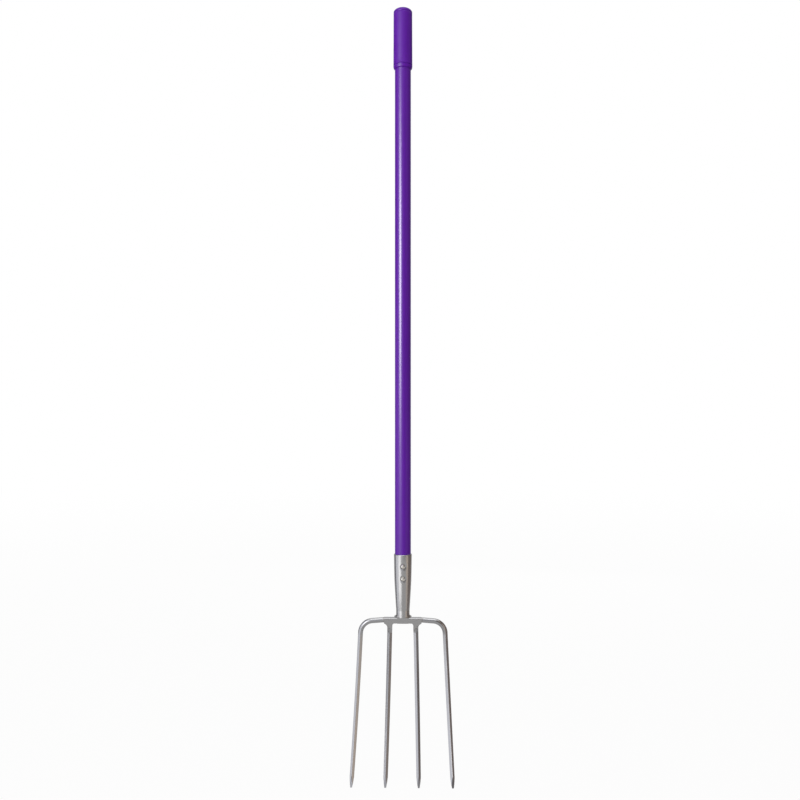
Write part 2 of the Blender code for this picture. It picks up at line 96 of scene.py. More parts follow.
def middle(edge):
    """The middle of an edge."""
    return (edge.verts[0].co + edge.verts[1].co) / 2


def pick(piece, kind, wanted):
    """In edit mode, select only the parts of one kind that pass a test, and count them."""
    bpy.ops.mesh.select_mode(type=kind)
    bpy.ops.mesh.select_all(action="DESELECT")
    edit = bmesh.from_edit_mesh(piece.data)
    parts = {"VERT": edit.verts, "EDGE": edit.edges, "FACE": edit.faces}[kind]
    chosen = [part for part in parts if wanted(part)]
    for part in chosen:
        part.select_set(True)
    bmesh.update_edit_mesh(piece.data)
    return len(chosen)


def ring_reach(piece):
    """Half the width and half the depth of what is selected."""
    edit = bmesh.from_edit_mesh(piece.data)
    xs = [vert.co.x for vert in edit.verts if vert.select]
    ys = [vert.co.y for vert in edit.verts if vert.select]
    return (max(xs) - min(xs)) / 2, (max(ys) - min(ys)) / 2


# %% Sawing along a plane
def saw(place, normal, keep_both=False, slack=0.1 * MM):
    """Cut the whole piece; unless both sides are kept, the outer one goes and the cut is closed."""
    bpy.ops.mesh.select_all(action="SELECT")
    bpy.ops.mesh.bisect(plane_co=place, plane_no=normal, use_fill=not keep_both,
                        clear_outer=not keep_both, threshold=slack)


# %% Naming, copying and selecting a piece
def name_piece(piece, name):
    """Give an object and its mesh the same name."""
    piece.name = name
    piece.data.name = name


def copied(piece, name):
    """A copy of a piece with its own mesh."""
    copy = piece.copy()
    copy.data = piece.data.copy()
    name_piece(copy, name)
    bpy.context.scene.collection.objects.link(copy)
    return copy


def select_only(piece):
    """Make one piece the selected and the active one."""
    bpy.ops.object.select_all(action="DESELECT")
    piece.select_set(True)
    bpy.context.view_layer.objects.active = piece


# %% Turning a round piece
def turn_up(name, rings, sides=96, centre=(0.0, axis_y)):
    """Extrude a disc ring by ring up the Z axis; rings are (radius, height), both ends closed."""
    bpy.ops.object.select_all(action="DESELECT")
    radius, height = rings[0]
    bpy.ops.mesh.primitive_circle_add(vertices=sides, radius=radius, fill_type="NGON",
                                      location=(*centre, height))
    piece = bpy.context.object
    name_piece(piece, name)
    bpy.ops.object.transform_apply(location=True, rotation=True, scale=True)
    bpy.ops.object.mode_set(mode="EDIT")
    bpy.ops.mesh.select_all(action="SELECT")
    for (last_radius, last_height), (radius, height) in zip(rings, rings[1:]):
        rise = {"value": (0, 0, height - last_height)}
        bpy.ops.mesh.extrude_region_move(TRANSFORM_OT_translate=rise)
        ratio = radius / last_radius
        bpy.ops.transform.resize(value=(ratio, ratio, 1), center_override=(*centre, height))
    return piece


def quarter_turn(steps, first=0):
    """Angles from 0 to a right angle in even steps."""
    return [math.pi / 2 * step / steps for step in range(first, steps + 1)]


# %% Finishing a piece
def finish_piece(piece, replaced, sharp_angle=35):
    """Leave edit mode, put the place into the mesh, shade it and let it ride on the fork."""
    if piece.mode == "EDIT":
        bpy.ops.object.mode_set(mode="OBJECT")
    select_only(piece)
    bpy.ops.object.transform_apply(location=True, rotation=True, scale=True)
    bpy.ops.object.mode_set(mode="EDIT")
    bpy.ops.mesh.select_all(action="SELECT")
    bpy.ops.mesh.remove_doubles(threshold=0.002 * MM)
    bpy.ops.mesh.normals_make_consistent(inside=False)
    bpy.ops.object.mode_set(mode="OBJECT")
    bpy.ops.object.shade_smooth_by_angle(angle=math.radians(sharp_angle))
    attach(piece, "root")
    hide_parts(*replaced)
    low = [min(vert.co[i] for vert in piece.data.vertices) for i in range(3)]
    high = [max(vert.co[i] for vert in piece.data.vertices) for i in range(3)]
    print("%-18s %6d faces, %s to %s mm" % (piece.name, len(piece.data.polygons),
                                            [round(c / MM, 1) for c in low],
                                            [round(c / MM, 1) for c in high]))


def apply_modifiers(piece):
    """Turn a piece's live modifiers into mesh."""
    select_only(piece)
    for modifier in list(piece.modifiers):
        bpy.ops.object.modifier_apply(modifier=modifier.name)


# %% [markdown]
# ## The camera
# The picture was taken from straight in front with a level camera at about half the fork's
# height, so the shaft shows no lean. A camera could be aimed at the fork's middle instead, but
# that tilts it a little and makes the shaft taper in the picture, so the lens is shifted and the
# camera stays level. In the picture the forward tips stand almost two millimetres further left
# than they would from straight in front, so the camera stands four centimetres to the right and
# is turned by one and a quarter degrees.

# %% Set the camera
picture_width = 800
focal_pixels = 923
axis_column = 402.9
horizon_row = 392.0
film_width = 36
camera_distance = 1846 * MM
camera_height = 757.65 * MM
camera_turn = math.radians(1.25)

camera = bpy.data.objects.new("camera", bpy.data.cameras.new("camera"))
bpy.context.scene.collection.objects.link(camera)
camera.location = (camera_distance * math.sin(camera_turn),
                   axis_y - camera_distance * math.cos(camera_turn), camera_height)
camera.rotation_euler = (math.pi / 2, 0, camera_turn)
camera.data.sensor_width = film_width
camera.data.lens = film_width * focal_pixels / picture_width
camera.data.shift_x = -(axis_column - picture_width / 2) / picture_width
camera.data.shift_y = (horizon_row - picture_width / 2) / picture_width
camera.data.clip_start = 50 * MM
bpy.context.scene.camera = camera
bpy.context.scene.view_settings.view_transform = "Standard"
print("lens %.1f mm, %.3f m from the shaft" % (camera.data.lens, camera_distance))

# %% [markdown]
# ## The shaft
# The shaft is a drawn steel tube with a thick glossy coating. A cylinder from the menu would do
# for the bare stretch, but the end inside the socket is drawn in to the socket's taper. So it is
# turned up from a circle, ring by ring, from inside the socket to inside the grip. Both ends
# stay hidden. Rings every few centimetres keep its faces short, which shades more evenly.

# %% Turn the shaft
shaft_radius = (shaft_high.x - shaft_low.x) / 2
taper_loss = 3.2 * MM
taper_top = socket_high.z - 30 * MM
taper_top_loss = 0.1 * MM
full_width_z = socket_high.z - 12 * MM
ring_spacing = 40 * MM
ring_count = math.floor((shaft_high.z - full_width_z) / ring_spacing)

shaft_rings = [(shaft_radius - taper_loss, shaft_low.z), (shaft_radius - taper_top_loss, taper_top)]
shaft_rings += [(shaft_radius, full_width_z + step * ring_spacing) for step in range(ring_count)]
shaft_rings.append((shaft_radius, shaft_high.z))
shaft = turn_up("purple_shaft", shaft_rings, sides=128)
finish_piece(shaft, ["shaft"])

# %% [markdown]
# ## The cap grip
# The grip is a moulded cap pushed over the tube. Below it has a rounded lip and a narrow groove,
# its body has a hair of draft so that it leaves its mould, a fine ring shows where the end cap
# meets the sleeve, and a low dome closes it. All of that is round, so one line of rings makes
# it, and a cutter or a bevel for each detail isn't needed.

# %% Lay out the grip
grip_radius = (grip_high.x - grip_low.x) / 2
grip_draft = 0.3 * MM
grip_top_radius = grip_radius - grip_draft
bore_radius = shaft_radius + 0.3 * MM
bore_depth = 5.9 * MM
bore_slope = 0.1 * MM
bore_floor_overlap = 1.0 * MM
bore_chamfer_width = 0.3 * MM
bore_chamfer_height = 0.4 * MM
lip_height = 4.5 * MM
lip_width = 1.8 * MM
groove_height = grip_low.z + 7.2 * MM
groove_radius = 1.15 * MM
groove_edge_rise = 0.15 * MM
body_foot = groove_height + groove_radius + 1.2 * MM
dome_height = 9.3 * MM
dome_foot = grip_high.z - dome_height
dome_pole_radius = 0.4 * MM
body_top = dome_foot - 4 * MM
ring_line = dome_foot - 1.6 * MM
ring_half_height = 0.5 * MM
ring_depth = 0.7 * MM
print("grip: radius %.2f mm, dome from %.1f mm up" % (grip_radius / MM, (dome_foot - grip_low.z) / MM))

# %% Turn the grip
grip_rings = [(shaft_radius - bore_floor_overlap, grip_low.z + bore_depth + bore_slope),
              (bore_radius, grip_low.z + bore_depth), (bore_radius, grip_low.z + bore_chamfer_height),
              (bore_radius + bore_chamfer_width, grip_low.z)]
for angle in quarter_turn(10, first=1):
    grip_rings.append((grip_radius - lip_width * (1 - math.sin(angle)),
                       grip_low.z + lip_height * (1 - math.cos(angle))))
groove_steps = 8
for step in range(groove_steps + 1):
    angle = -math.pi / 2 + math.pi * step / groove_steps
    edge_rise = groove_edge_rise if step in (0, groove_steps) else 0
    grip_rings.append((grip_radius - groove_radius * math.cos(angle) + edge_rise,
                       groove_height + groove_radius * math.sin(angle)))
body_steps = 12
for step in range(body_steps + 1):
    share = step / body_steps
    grip_rings.append((grip_radius - grip_draft * share, body_foot + (body_top - body_foot) * share))
grip_rings += [(grip_top_radius, ring_line - ring_half_height), (grip_top_radius - ring_depth, ring_line),
               (grip_top_radius, ring_line + ring_half_height)]
for angle in quarter_turn(24):
    grip_rings.append((max(grip_top_radius * math.cos(angle), dome_pole_radius),
                       dome_foot + dome_height * math.sin(angle)))
grip = turn_up("cap_grip", grip_rings, sides=128)
finish_piece(grip, ["grip"], sharp_angle=60)

# %% [markdown]
# ## The socket
# The socket is rolled and forged from sheet: nearly straight under its mouth, then a cone down
# to a short neck that stands on the bar. A plain cone would miss the slight swell of the real
# one, so two power curves give its profile. The wall is pulled in round each rivet, which bends
# the reflections there, so the rings stand close enough together to be dented.

# %% The socket's profile
mouth_radius = (socket_high.x - socket_low.x) / 2
neck_radius = 13.45 * MM
neck_length = 13 * MM
barrel_length = 50 * MM
barrel_taper = 0.9 * MM
barrel_curve = 1.6
cone_curve = 1.12
socket_height = socket_high.z - socket_low.z
cone_length = socket_height - neck_length - barrel_length
barrel_foot_radius = mouth_radius - barrel_taper


def socket_radius(drop):
    """Outer radius at a distance below the mouth."""
    if drop < barrel_length:
        return mouth_radius - barrel_taper * (drop / barrel_length) ** barrel_curve
    share = min((drop - barrel_length) / cone_length, 1)
    return barrel_foot_radius - (barrel_foot_radius - neck_radius) * share ** cone_curve


print("socket: %.1f mm at the mouth, %.1f mm at the neck" % (2 * mouth_radius / MM, 2 * neck_radius / MM))

# %% Turn the socket
wall_steps = 110
wall_foot_drop = socket_height - neck_length * 0.5
rim_room = 1.2 * MM
rim_radius = 1.45 * MM
mouth_chamfer_width = 0.1 * MM
mouth_chamfer_height = 0.25 * MM
mouth_depth = 9 * MM
mouth_floor_width = 3 * MM
mouth_floor_slope = 0.2 * MM
neck_sunk = 0.3 * MM

socket_rings = [(neck_radius, bar_high.z - neck_sunk), (neck_radius, socket_low.z + neck_length * 0.45)]
for step in range(wall_steps):
    drop = wall_foot_drop * (1 - step / wall_steps)
    if drop > rim_room:
        socket_rings.append((socket_radius(drop), socket_high.z - drop))
for angle in quarter_turn(6):
    socket_rings.append((mouth_radius - rim_radius * (1 - math.cos(angle)),
                         socket_high.z - rim_radius * (1 - math.sin(angle))))
socket_rings += [(bore_radius + mouth_chamfer_width, socket_high.z),
                 (bore_radius, socket_high.z - mouth_chamfer_height),
                 (bore_radius, socket_high.z - mouth_depth),
                 (bore_radius - mouth_floor_width, socket_high.z - mouth_depth - mouth_floor_slope)]
socket = turn_up("socket_tube", socket_rings, sides=128)
print("socket rings:", len(socket_rings))

# %% Dent the wall round the rivets
rivet_boxes = [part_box("upper_rivet"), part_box("lower_rivet")]
rivet_lowering = 0.8 * MM
rivet_heights = [(low.z + high.z) / 2 - rivet_lowering for low, high in rivet_boxes]
rivet_x = 0.8 * MM
wall_dents = ((3.0 * MM, 0.35 * MM, 7.5 * MM), (4.0 * MM, 0.5 * MM, 3.0 * MM))
for height in rivet_heights:
    for side in (-1, 1):
        spot = Vector((rivet_x, axis_y + side * socket_radius(socket_high.z - height), height))
        for reach, depth, spread in wall_dents:
            pick(socket, "VERT", lambda vert: (vert.co - spot).length < reach)
            bpy.ops.transform.translate(value=(0, -side * depth, 0), use_proportional_edit=True,
                                        proportional_edit_falloff="SMOOTH", proportional_size=spread)
bpy.ops.object.mode_set(mode="OBJECT")
print("dents at heights in mm:", [round(height / MM, 1) for height in rivet_heights])


# %% Cut a seat for each rivet's head and tail
def cut_away(piece, cutter):
    """Subtract a cutter from a piece and throw the cutter away."""
    cut = piece.modifiers.new("cut", "BOOLEAN")
    cut.operation = "DIFFERENCE"
    cut.object = cutter
    cut.solver = "EXACT"
    apply_modifiers(piece)
    bpy.data.objects.remove(cutter)


seat_depth = 2.1 * MM
seat_rings = [(3.6 * MM, 0), (5.3 * MM, seat_depth), (5.6 * MM, 4.0 * MM)]
seat_x = rivet_x - 0.4 * MM
for height in rivet_heights:
    for side in (-1, 1):
        cutter = turn_up("seat_cutter", seat_rings, sides=48, centre=(0, 0))
        bpy.ops.object.mode_set(mode="OBJECT")
        cutter.rotation_euler = (-side * math.pi / 2, 0, 0)
        wall = socket_radius(socket_high.z - height)
        cutter.location = (seat_x, axis_y + side * (wall - seat_depth), height)
        cut_away(socket, cutter)
finish_piece(socket, ["socket"])

# %% [markdown]
# ## The rivets
# Two steel rivets go right through. Their heads are low domes in front, and their tails, closed
# with a hammer, are flatter behind. Half a ball would stand out too far, so a dome here is only
# a shallow slice of a ball with a rounded rim and a short wall. One rivet is turned on its side
# and copied for the other, and each is stretched to the socket's width where it goes through.

# %% The shape of a head
dome_pole = 0.25 * MM
dome_rim = 0.35 * MM


def dome(radius, wall, rise, steps=8, rim_steps=4):
    """Rings (radius, height) of a flat dome on a short wall with a rounded rim."""
    turn = 2 * math.atan(rise / radius)
    ball = radius / math.sin(turn)
    rings = []
    for step in range(steps + 1):
        angle = turn * step / steps
        rings.append((max(ball * math.sin(angle), dome_pole), ball * (1 - math.cos(angle))))
    for step in range(1, rim_steps + 1):
        angle = turn + (math.pi / 2 - turn) * step / rim_steps
        rings.append((radius + dome_rim * (math.sin(angle) - math.sin(turn)),
                      rise + dome_rim * (math.cos(turn) - math.cos(angle))))
    rings.append((rings[-1][0], rise + wall))
    return rings


# %% Turn a rivet
shank_radius = 3.0 * MM
shank_step = 0.2 * MM
head_radius, head_wall, head_rise = 3.5 * MM, 3.4 * MM, 0.5 * MM
tail_radius, tail_wall, tail_rise = 3.85 * MM, 3.2 * MM, 0.4 * MM
head_stand, tail_stand = 1.3 * MM, 1.3 * MM


def rivet_length(height):
    """From the head's top to the tail's end, through the socket at a height."""
    return 2 * socket_radius(socket_high.z - height) + head_stand + tail_stand


upper_length = rivet_length(rivet_heights[0])
front_rings = dome(head_radius, head_wall, head_rise)
tail_rings = dome(tail_radius, tail_wall, tail_rise)
back_rings = [(radius, upper_length - depth) for radius, depth in reversed(tail_rings)]
shank_rings = [(shank_radius, front_rings[-1][1] + shank_step),
               (shank_radius, back_rings[0][1] - shank_step)]
upper_rivet = turn_up("upper_rivet_steel", front_rings + shank_rings + back_rings, sides=64, centre=(0, 0))
bpy.ops.object.mode_set(mode="OBJECT")
upper_rivet.rotation_euler = (-math.pi / 2, 0, 0)
print("upper rivet %.1f mm long" % (upper_length / MM))

# %% Copy it and set both in their seats
rivets = [upper_rivet, copied(upper_rivet, "lower_rivet_steel")]
for rivet, name, height in zip(rivets, ("upper_rivet", "lower_rivet"), rivet_heights):
    rivet.scale.z = rivet_length(height) / upper_length
    rivet.location = (rivet_x, axis_y - socket_radius(socket_high.z - height) - head_stand, height)
    finish_piece(rivet, [name], sharp_angle=50)

# %% [markdown]
# ## The bar
# The flat fronted bar is drop forged in one piece with the stub of each inner tine. Its outline
# could be drawn flat and thickened, but then the front would have no bends of its own. So it is
# made as in the forge: a block is cut into lengths, the stubs are pulled down out of it, and the
# corners between bar and stub get the large forged fillets. The upper front edge is rounded
# except under the socket, where a boss swells out behind to carry the foot.

# %% Block out the bar
bar_end = bar_high.x
bar_back = face_y + 10.6 * MM
bar_top = bar_high.z
bar_bottom = bar_top - 10.9 * MM
stub_inner = inner_low.x
stub_outer = stub_inner + 10.0 * MM
stub_middle = (stub_inner + stub_outer) / 2
outer_fillet = 8.6 * MM
inner_fillet = 4.6 * MM
block_end = stub_outer + outer_fillet + 0.6 * MM
joint_z = (bar_low.z + inner_high.z) / 2
stub_foot = joint_z - 1.0 * MM
foot_edge = 12.6 * MM
bow_steps = (0, 5.5 * MM, 10.5 * MM, 15.5 * MM)

bpy.ops.object.select_all(action="DESELECT")
bpy.ops.mesh.primitive_cube_add(size=1, location=(0, (face_y + bar_back) / 2, (bar_top + bar_bottom) / 2),
                                scale=(2 * block_end, bar_back - face_y, bar_top - bar_bottom))
bar = bpy.context.object
name_piece(bar, "forged_bar")
bpy.ops.object.transform_apply(location=True, rotation=True, scale=True)
bpy.ops.object.mode_set(mode="EDIT")
for x in (stub_inner, stub_outer, foot_edge) + bow_steps:
    for side in (-1, 1) if x else (1,):
        saw((side * x, 0, 0), (1, 0, 0), keep_both=True)
count = pick(bar, "FACE", lambda face: face.normal.z < -0.9
             and stub_inner < abs(face.calc_center_median().x) < stub_outer)
bpy.ops.mesh.extrude_region_move(TRANSFORM_OT_translate={"value": (0, 0, stub_foot - bar_bottom)})
print("stubs pulled from", count, "faces")

# %% Round the corners between bar and stubs
for corner, fillet in ((stub_inner, inner_fillet), (stub_outer, outer_fillet)):
    count = pick(bar, "EDGE", lambda edge: at(abs(middle(edge).x), corner)
                 and at(middle(edge).z, bar_bottom)
                 and abs(edge.verts[0].co.y - edge.verts[1].co.y) > 5 * MM)
    bpy.ops.mesh.bevel(offset=fillet, segments=10, profile=0.5, affect="EDGES")
    print("fillets at", round(corner / MM, 1), "mm:", count)
for side in (-1, 1):
    saw((side * bar_end, 0, 0), (side, 0, 0))

# %% Bow the underside and round the upper front edge
bow_depth = 0.6 * MM
top_rounding = 2.5 * MM
for x in bow_steps:
    sag = bow_depth * (1 - (x / stub_inner) ** 2)
    pick(bar, "VERT", lambda vert: at(abs(vert.co.x), x) and at(vert.co.z, bar_bottom))
    bpy.ops.transform.translate(value=(0, 0, -sag))
count = pick(bar, "EDGE", lambda edge: at(middle(edge).z, bar_top) and at(edge.verts[0].co.y, face_y)
             and at(edge.verts[1].co.y, face_y) and abs(middle(edge).x) > foot_edge)
bpy.ops.mesh.bevel(offset=top_rounding, segments=8, profile=0.5, affect="EDGES")
print("rounded edges:", count)

# %% Break the lower edges
lower_edge = 0.8 * MM
top_clearance = 4 * MM
facet_top = bar_bottom - 1.8 * MM
facet_lean = 3.5 * MM / (facet_top - stub_foot)


def lower_outline(edge):
    """Whether an edge belongs to the outline of the front or back, below the bar's top."""
    in_front = all(at(vert.co.y, face_y) for vert in edge.verts)
    behind = all(at(vert.co.y, bar_back) for vert in edge.verts)
    spot = middle(edge)
    return ((in_front or behind) and edge.calc_face_angle(0) > 0.5 and spot.z < bar_top - top_clearance
            and spot.z > stub_foot + SLACK and abs(spot.x) < bar_end - SLACK)


count = pick(bar, "EDGE", lower_outline)
bpy.ops.mesh.bevel(offset=lower_edge, segments=1, affect="EDGES")
print("lower edges:", count)

# %% Widen the broken edges down each stub into the tine's facets
heights = sorted({round(vert.co.z / MM, 3) for vert in bmesh.from_edit_mesh(bar.data).verts
                  if vert.co.z < facet_top})
for height in heights:
    shift = (facet_top - height * MM) * facet_lean
    for side in (-1, 1):
        for way in (-1, 1):
            def on_side(vert):
                """Whether a point lies at this height on this side of this stub."""
                return (at(vert.co.z, height * MM, 0.002 * MM)
                        and side * way * (vert.co.x - side * stub_middle) > 0.5 * MM)
            pick(bar, "VERT", lambda vert: on_side(vert)
                 and (at(vert.co.y, face_y) or at(vert.co.y, bar_back)))
            bpy.ops.transform.translate(value=(-side * way * shift, 0, 0))
            for plane, inward in ((face_y, 1), (bar_back, -1)):
                pick(bar, "VERT", lambda vert: on_side(vert) and at(vert.co.y, plane + inward * lower_edge))
                bpy.ops.transform.translate(value=(0, inward * shift, 0))
bpy.ops.object.mode_set(mode="OBJECT")
print("steps down the facets:", len(heights))

# %% Soften the bar's edges and cut the stubs to length
fine = 0.001 * MM
softened = bar.modifiers.new("softened", "BEVEL")
softened.width = 0.3 * MM
softened.segments = 2
softened.limit_method = "ANGLE"
softened.angle_limit = math.radians(40)
apply_modifiers(bar)
bpy.ops.object.mode_set(mode="EDIT")
saw((0, 0, joint_z), (0, 0, -1), slack=fine)
bpy.ops.object.mode_set(mode="OBJECT")
print("stubs end at %.1f mm" % (joint_z / MM))

# %% Join the boss that carries the socket
boss_radius = fillet_high.x + 0.2 * MM
boss_foot_radius = 6 * MM
boss_foot_z = bar_bottom + 0.3 * MM
boss_shoulder_z = bar_top - 1.5 * MM
boss_rise = 9.1 * MM
boss_top_z = bar_top - 0.02 * MM
boss_front = face_y + 3 * MM

boss_rings = [(boss_foot_radius, boss_foot_z)]
for angle in quarter_turn(12, first=1):
    boss_rings.append((boss_foot_radius + (boss_radius - boss_foot_radius) * math.sin(angle),
                       boss_shoulder_z - boss_rise * math.cos(angle)))
boss_rings.append((boss_radius, boss_top_z))
boss = turn_up("boss", boss_rings, sides=96)
saw((0, boss_front, 0), (0, -1, 0), slack=fine)
bpy.ops.object.mode_set(mode="OBJECT")
union = bar.modifiers.new("boss", "BOOLEAN")
union.operation = "UNION"
union.object = boss
union.solver = "EXACT"
apply_modifiers(bar)
bpy.data.objects.remove(boss)
finish_piece(bar, ["crosspiece"], sharp_angle=30)

# %% Keep the flat faces flat to the eye
even = bar.modifiers.new("even", "WEIGHTED_NORMAL")
even.keep_sharp = True
apply_modifiers(bar)
print("bar shading weighted by face size")

# %% [markdown]
# ## The welds
# A fillet weld runs round the socket's foot, set back in front where the foot is flush with the
# flat face. A narrow butt weld joins each end of the bar to its outer rod. A weld could be a
# chain of small ripples, but these have been dressed smooth with a grinder, so they are turned
# pieces: a hollow curve for the fillet, which is then squeezed to the bar's depth, and a low
# crown for each bead.

# %% Make the foot weld
weld_top_radius = neck_radius + 0.15 * MM
weld_reach = fillet_high.x
weld_depth = 14.75 * MM
weld_top_shift = 0.25 * MM
weld_foot_shift = 2.25 * MM
weld_height = fillet_high.z - fillet_low.z
weld_curve_height = weld_height - 0.4 * MM
weld_sunk = 0.2 * MM

fillet_rings = [(weld_top_radius, fillet_high.z)]
for angle in quarter_turn(10, first=1):
    fillet_rings.append((weld_reach - (weld_reach - weld_top_radius) * math.cos(angle),
                         fillet_high.z - weld_curve_height * math.sin(angle)))
fillet_rings.append((weld_reach, bar_top - weld_sunk))
foot_weld = turn_up("foot_weld_fillet", fillet_rings, sides=96)
for radius, height in fillet_rings:
    share = (radius - weld_top_radius) / (weld_reach - weld_top_radius)
    pick(foot_weld, "VERT", lambda vert: at(vert.co.z, height, 0.005 * MM))
    flatten = 1 - share * (1 - weld_depth / weld_reach)
    bpy.ops.transform.resize(value=(1, flatten, 1), center_override=(0, axis_y, height))
    shift = weld_top_shift + (weld_foot_shift - weld_top_shift) * share
    bpy.ops.transform.translate(value=(0, shift, 0))
finish_piece(foot_weld, ["foot_weld"], sharp_angle=45)

# %% Make the butt welds
bead_width = rod_begin - bar_end
bead_radius = 5.2 * MM
bead_crown = 0.15 * MM
bead_end_radius = bead_radius - 2.2 * MM
bead_steps = 8
bead_rings = [(bead_end_radius, 0)]
for step in range(bead_steps + 1):
    angle = math.pi * step / bead_steps
    bead_rings.append((bead_radius - bead_crown + bead_crown * math.sin(angle),
                       bead_width / 2 * (1 - math.cos(angle))))
bead_rings.append((bead_end_radius, bead_width))
for name, side in (("outer_weld_right", 1), ("outer_weld_left", -1)):
    bead = turn_up(name + "_bead", bead_rings, sides=72, centre=(0, 0))
    bpy.ops.object.mode_set(mode="OBJECT")
    bead.rotation_euler = (0, side * math.pi / 2, 0)
    bead.location = (side * bar_end, rod_y, rod_z)
    finish_piece(bead, [name], sharp_angle=60)

# %% [markdown]
# ## The tines
# Each tine is forged straight first, tapered, and ground to a point, and only then bent. Sections
# could be placed along the finished curve at once, but every cut would then have to follow the
# bend. So the tine is modelled in the smith's order: a diamond section is extruded back from the
# tip, made round where it becomes the rod, ground with flat cuts at the point, and bent along
# its line with a curve modifier at the very end.

# %% The line of each tine
tip_rise = 0.4 * MM
root_spare = 1.2 * MM
dish = 73.1 * MM
dish_top = inner_high.z
dish_radius = (dish ** 2 + dish_top ** 2) / (2 * dish)
line_steps = 60
inner_tip_x = 32.1 * MM
outer_tip_x = 97.5 * MM
outer_root_x = 83.0 * MM
rod_droop = math.radians(4.5)
rod_centre_drop = 0.45 * MM
bend_radius = 24.9 * MM
bend_steps = 32


def dished_y(z):
    """Depth of a tine's middle at a height: plumb at the root, then an even curve forward."""
    drop = min(max(dish_top - z, 0), dish_top)
    return rod_y - (dish_radius - math.sqrt(dish_radius ** 2 - drop ** 2))


def line_length(points):
    """Length of a line through all points."""
    return sum((second - first).length for first, second in zip(points, points[1:]))


print("tines dished on a radius of %.0f mm" % (dish_radius / MM))


# %% The inner tine's line
def inner_line():
    """Points from an inner tine's tip up to its stub."""
    line = []
    for step in range(line_steps + 1):
        z = tip_rise + (joint_z + root_spare - tip_rise) * step / line_steps
        line.append(Vector((inner_tip_x + (stub_middle - inner_tip_x) * z / joint_z, dished_y(z), z)))
    return line


# %% The outer tine's line
def outer_line():
    """Points from an outer tine's tip, up the tine, round the bend and along the rod."""
    splay = (outer_tip_x - outer_root_x) / (rod_z - rod_centre_drop)
    fall = math.tan(rod_droop)
    corner_drop = fall * (outer_root_x - rod_begin) / (1 - fall * splay)
    tine_lean = math.atan(splay)
    bend_turn = math.pi / 2 - rod_droop - tine_lean
    tangent = bend_radius * math.tan(bend_turn / 2)
    start = Vector((outer_root_x + splay * corner_drop - tangent * math.cos(rod_droop), rod_y,
                    rod_z - corner_drop + tangent * math.sin(rod_droop)))
    centre = start - Vector((math.sin(rod_droop), 0, math.cos(rod_droop))) * bend_radius
    bend = []
    for step in range(bend_steps + 1):
        angle = tine_lean + bend_turn * step / bend_steps
        bend.append(centre + Vector((math.cos(angle), 0, math.sin(angle))) * bend_radius)
    bend_end = bend[0]
    heights = [tip_rise + (bend_end.z - tip_rise) * step / line_steps for step in range(line_steps)]
    tine = [Vector((outer_tip_x + (bend_end.x - outer_tip_x) * z / bend_end.z, 0, z)) for z in heights]
    line = tine + bend + [Vector((rod_begin, rod_y, rod_z))]
    return [Vector((point.x, dished_y(point.z), point.z)) for point in line]


# %% The section of a tine
tine_reach = (4.15 * MM, 4.9 * MM)
tine_depth = (3.6 * MM, 4.35 * MM)
swell_curve = 0.55
station_spacing = 2.5 * MM


def tine_section(share):
    """Half the width and half the depth of a tine at a share of the way from tip to root."""
    swell = share ** swell_curve
    return (tine_reach[0] + (tine_reach[1] - tine_reach[0]) * swell,
            tine_depth[0] + (tine_depth[1] - tine_depth[0]) * swell)


def start_tine(name, corner):
    """The first section at the tip: a diamond whose four corners are cut off."""
    bpy.ops.object.select_all(action="DESELECT")
    bpy.ops.mesh.primitive_circle_add(vertices=4, radius=tine_reach[0], fill_type="NGON")
    tine = bpy.context.object
    name_piece(tine, name)
    bpy.ops.object.mode_set(mode="EDIT")
    bpy.ops.mesh.select_all(action="SELECT")
    bpy.ops.mesh.bevel(offset=corner, segments=1, profile=0.5, affect="VERTICES")
    return tine


def fit_section(tine, half_width, half_depth, s):
    """Scale the selected section to its width and depth."""
    now_width, now_depth = ring_reach(tine)
    bpy.ops.transform.resize(value=(half_width / now_width, half_depth / now_depth, 1),
                             center_override=(0, 0, s))


# %% Forge a straight outer tine with its rod
rod_radius = 5.15 * MM
rod_change = 30 * MM
facet_swell = 0.06


def forge_outer(name, length, bend_start):
    """A diamond section from the tip, drawn round where it becomes the rod."""
    tine = start_tine(name, 0.15 * MM)
    count = pick(tine, "EDGE", lambda edge: edge.calc_length() > 2 * MM)
    bpy.ops.mesh.subdivide(number_cuts=7)
    print(name, "facets divided:", count)
    bpy.ops.mesh.select_all(action="SELECT")
    bpy.ops.transform.tosphere(value=facet_swell)
    stations = math.ceil(length / station_spacing)
    for step in range(stations + 1):
        if step:
            bpy.ops.mesh.extrude_region_move(TRANSFORM_OT_translate={"value": (0, 0, length / stations)})
        s = length * step / stations
        half_width, half_depth = tine_section(min(s / bend_start, 1))
        roundness = min(max((s - bend_start) / rod_change + 0.2, 0), 1)
        roundness = roundness * roundness * (3 - 2 * roundness)
        if roundness > 0:
            bpy.ops.transform.tosphere(value=min(roundness * 0.5, 1))
        fit_section(tine, half_width + (rod_radius - half_width) * roundness,
                    half_depth + (rod_radius - half_depth) * roundness, s)
    return tine


# %% Forge a straight inner tine
root_reach, root_depth = 5.0 * MM, 5.3 * MM
root_change = 6 * MM
corner_flat = 0.2 * MM


def resize_corner(tine, axis, wanted_half_width, s):
    """Set how wide the picked corner of the section at s is, along X (0) or Y (1)."""
    ratio = wanted_half_width / ring_reach(tine)[axis]
    value = (ratio, 1, 1) if axis == 0 else (1, ratio, 1)
    bpy.ops.transform.resize(value=value, center_override=(0, 0, s))


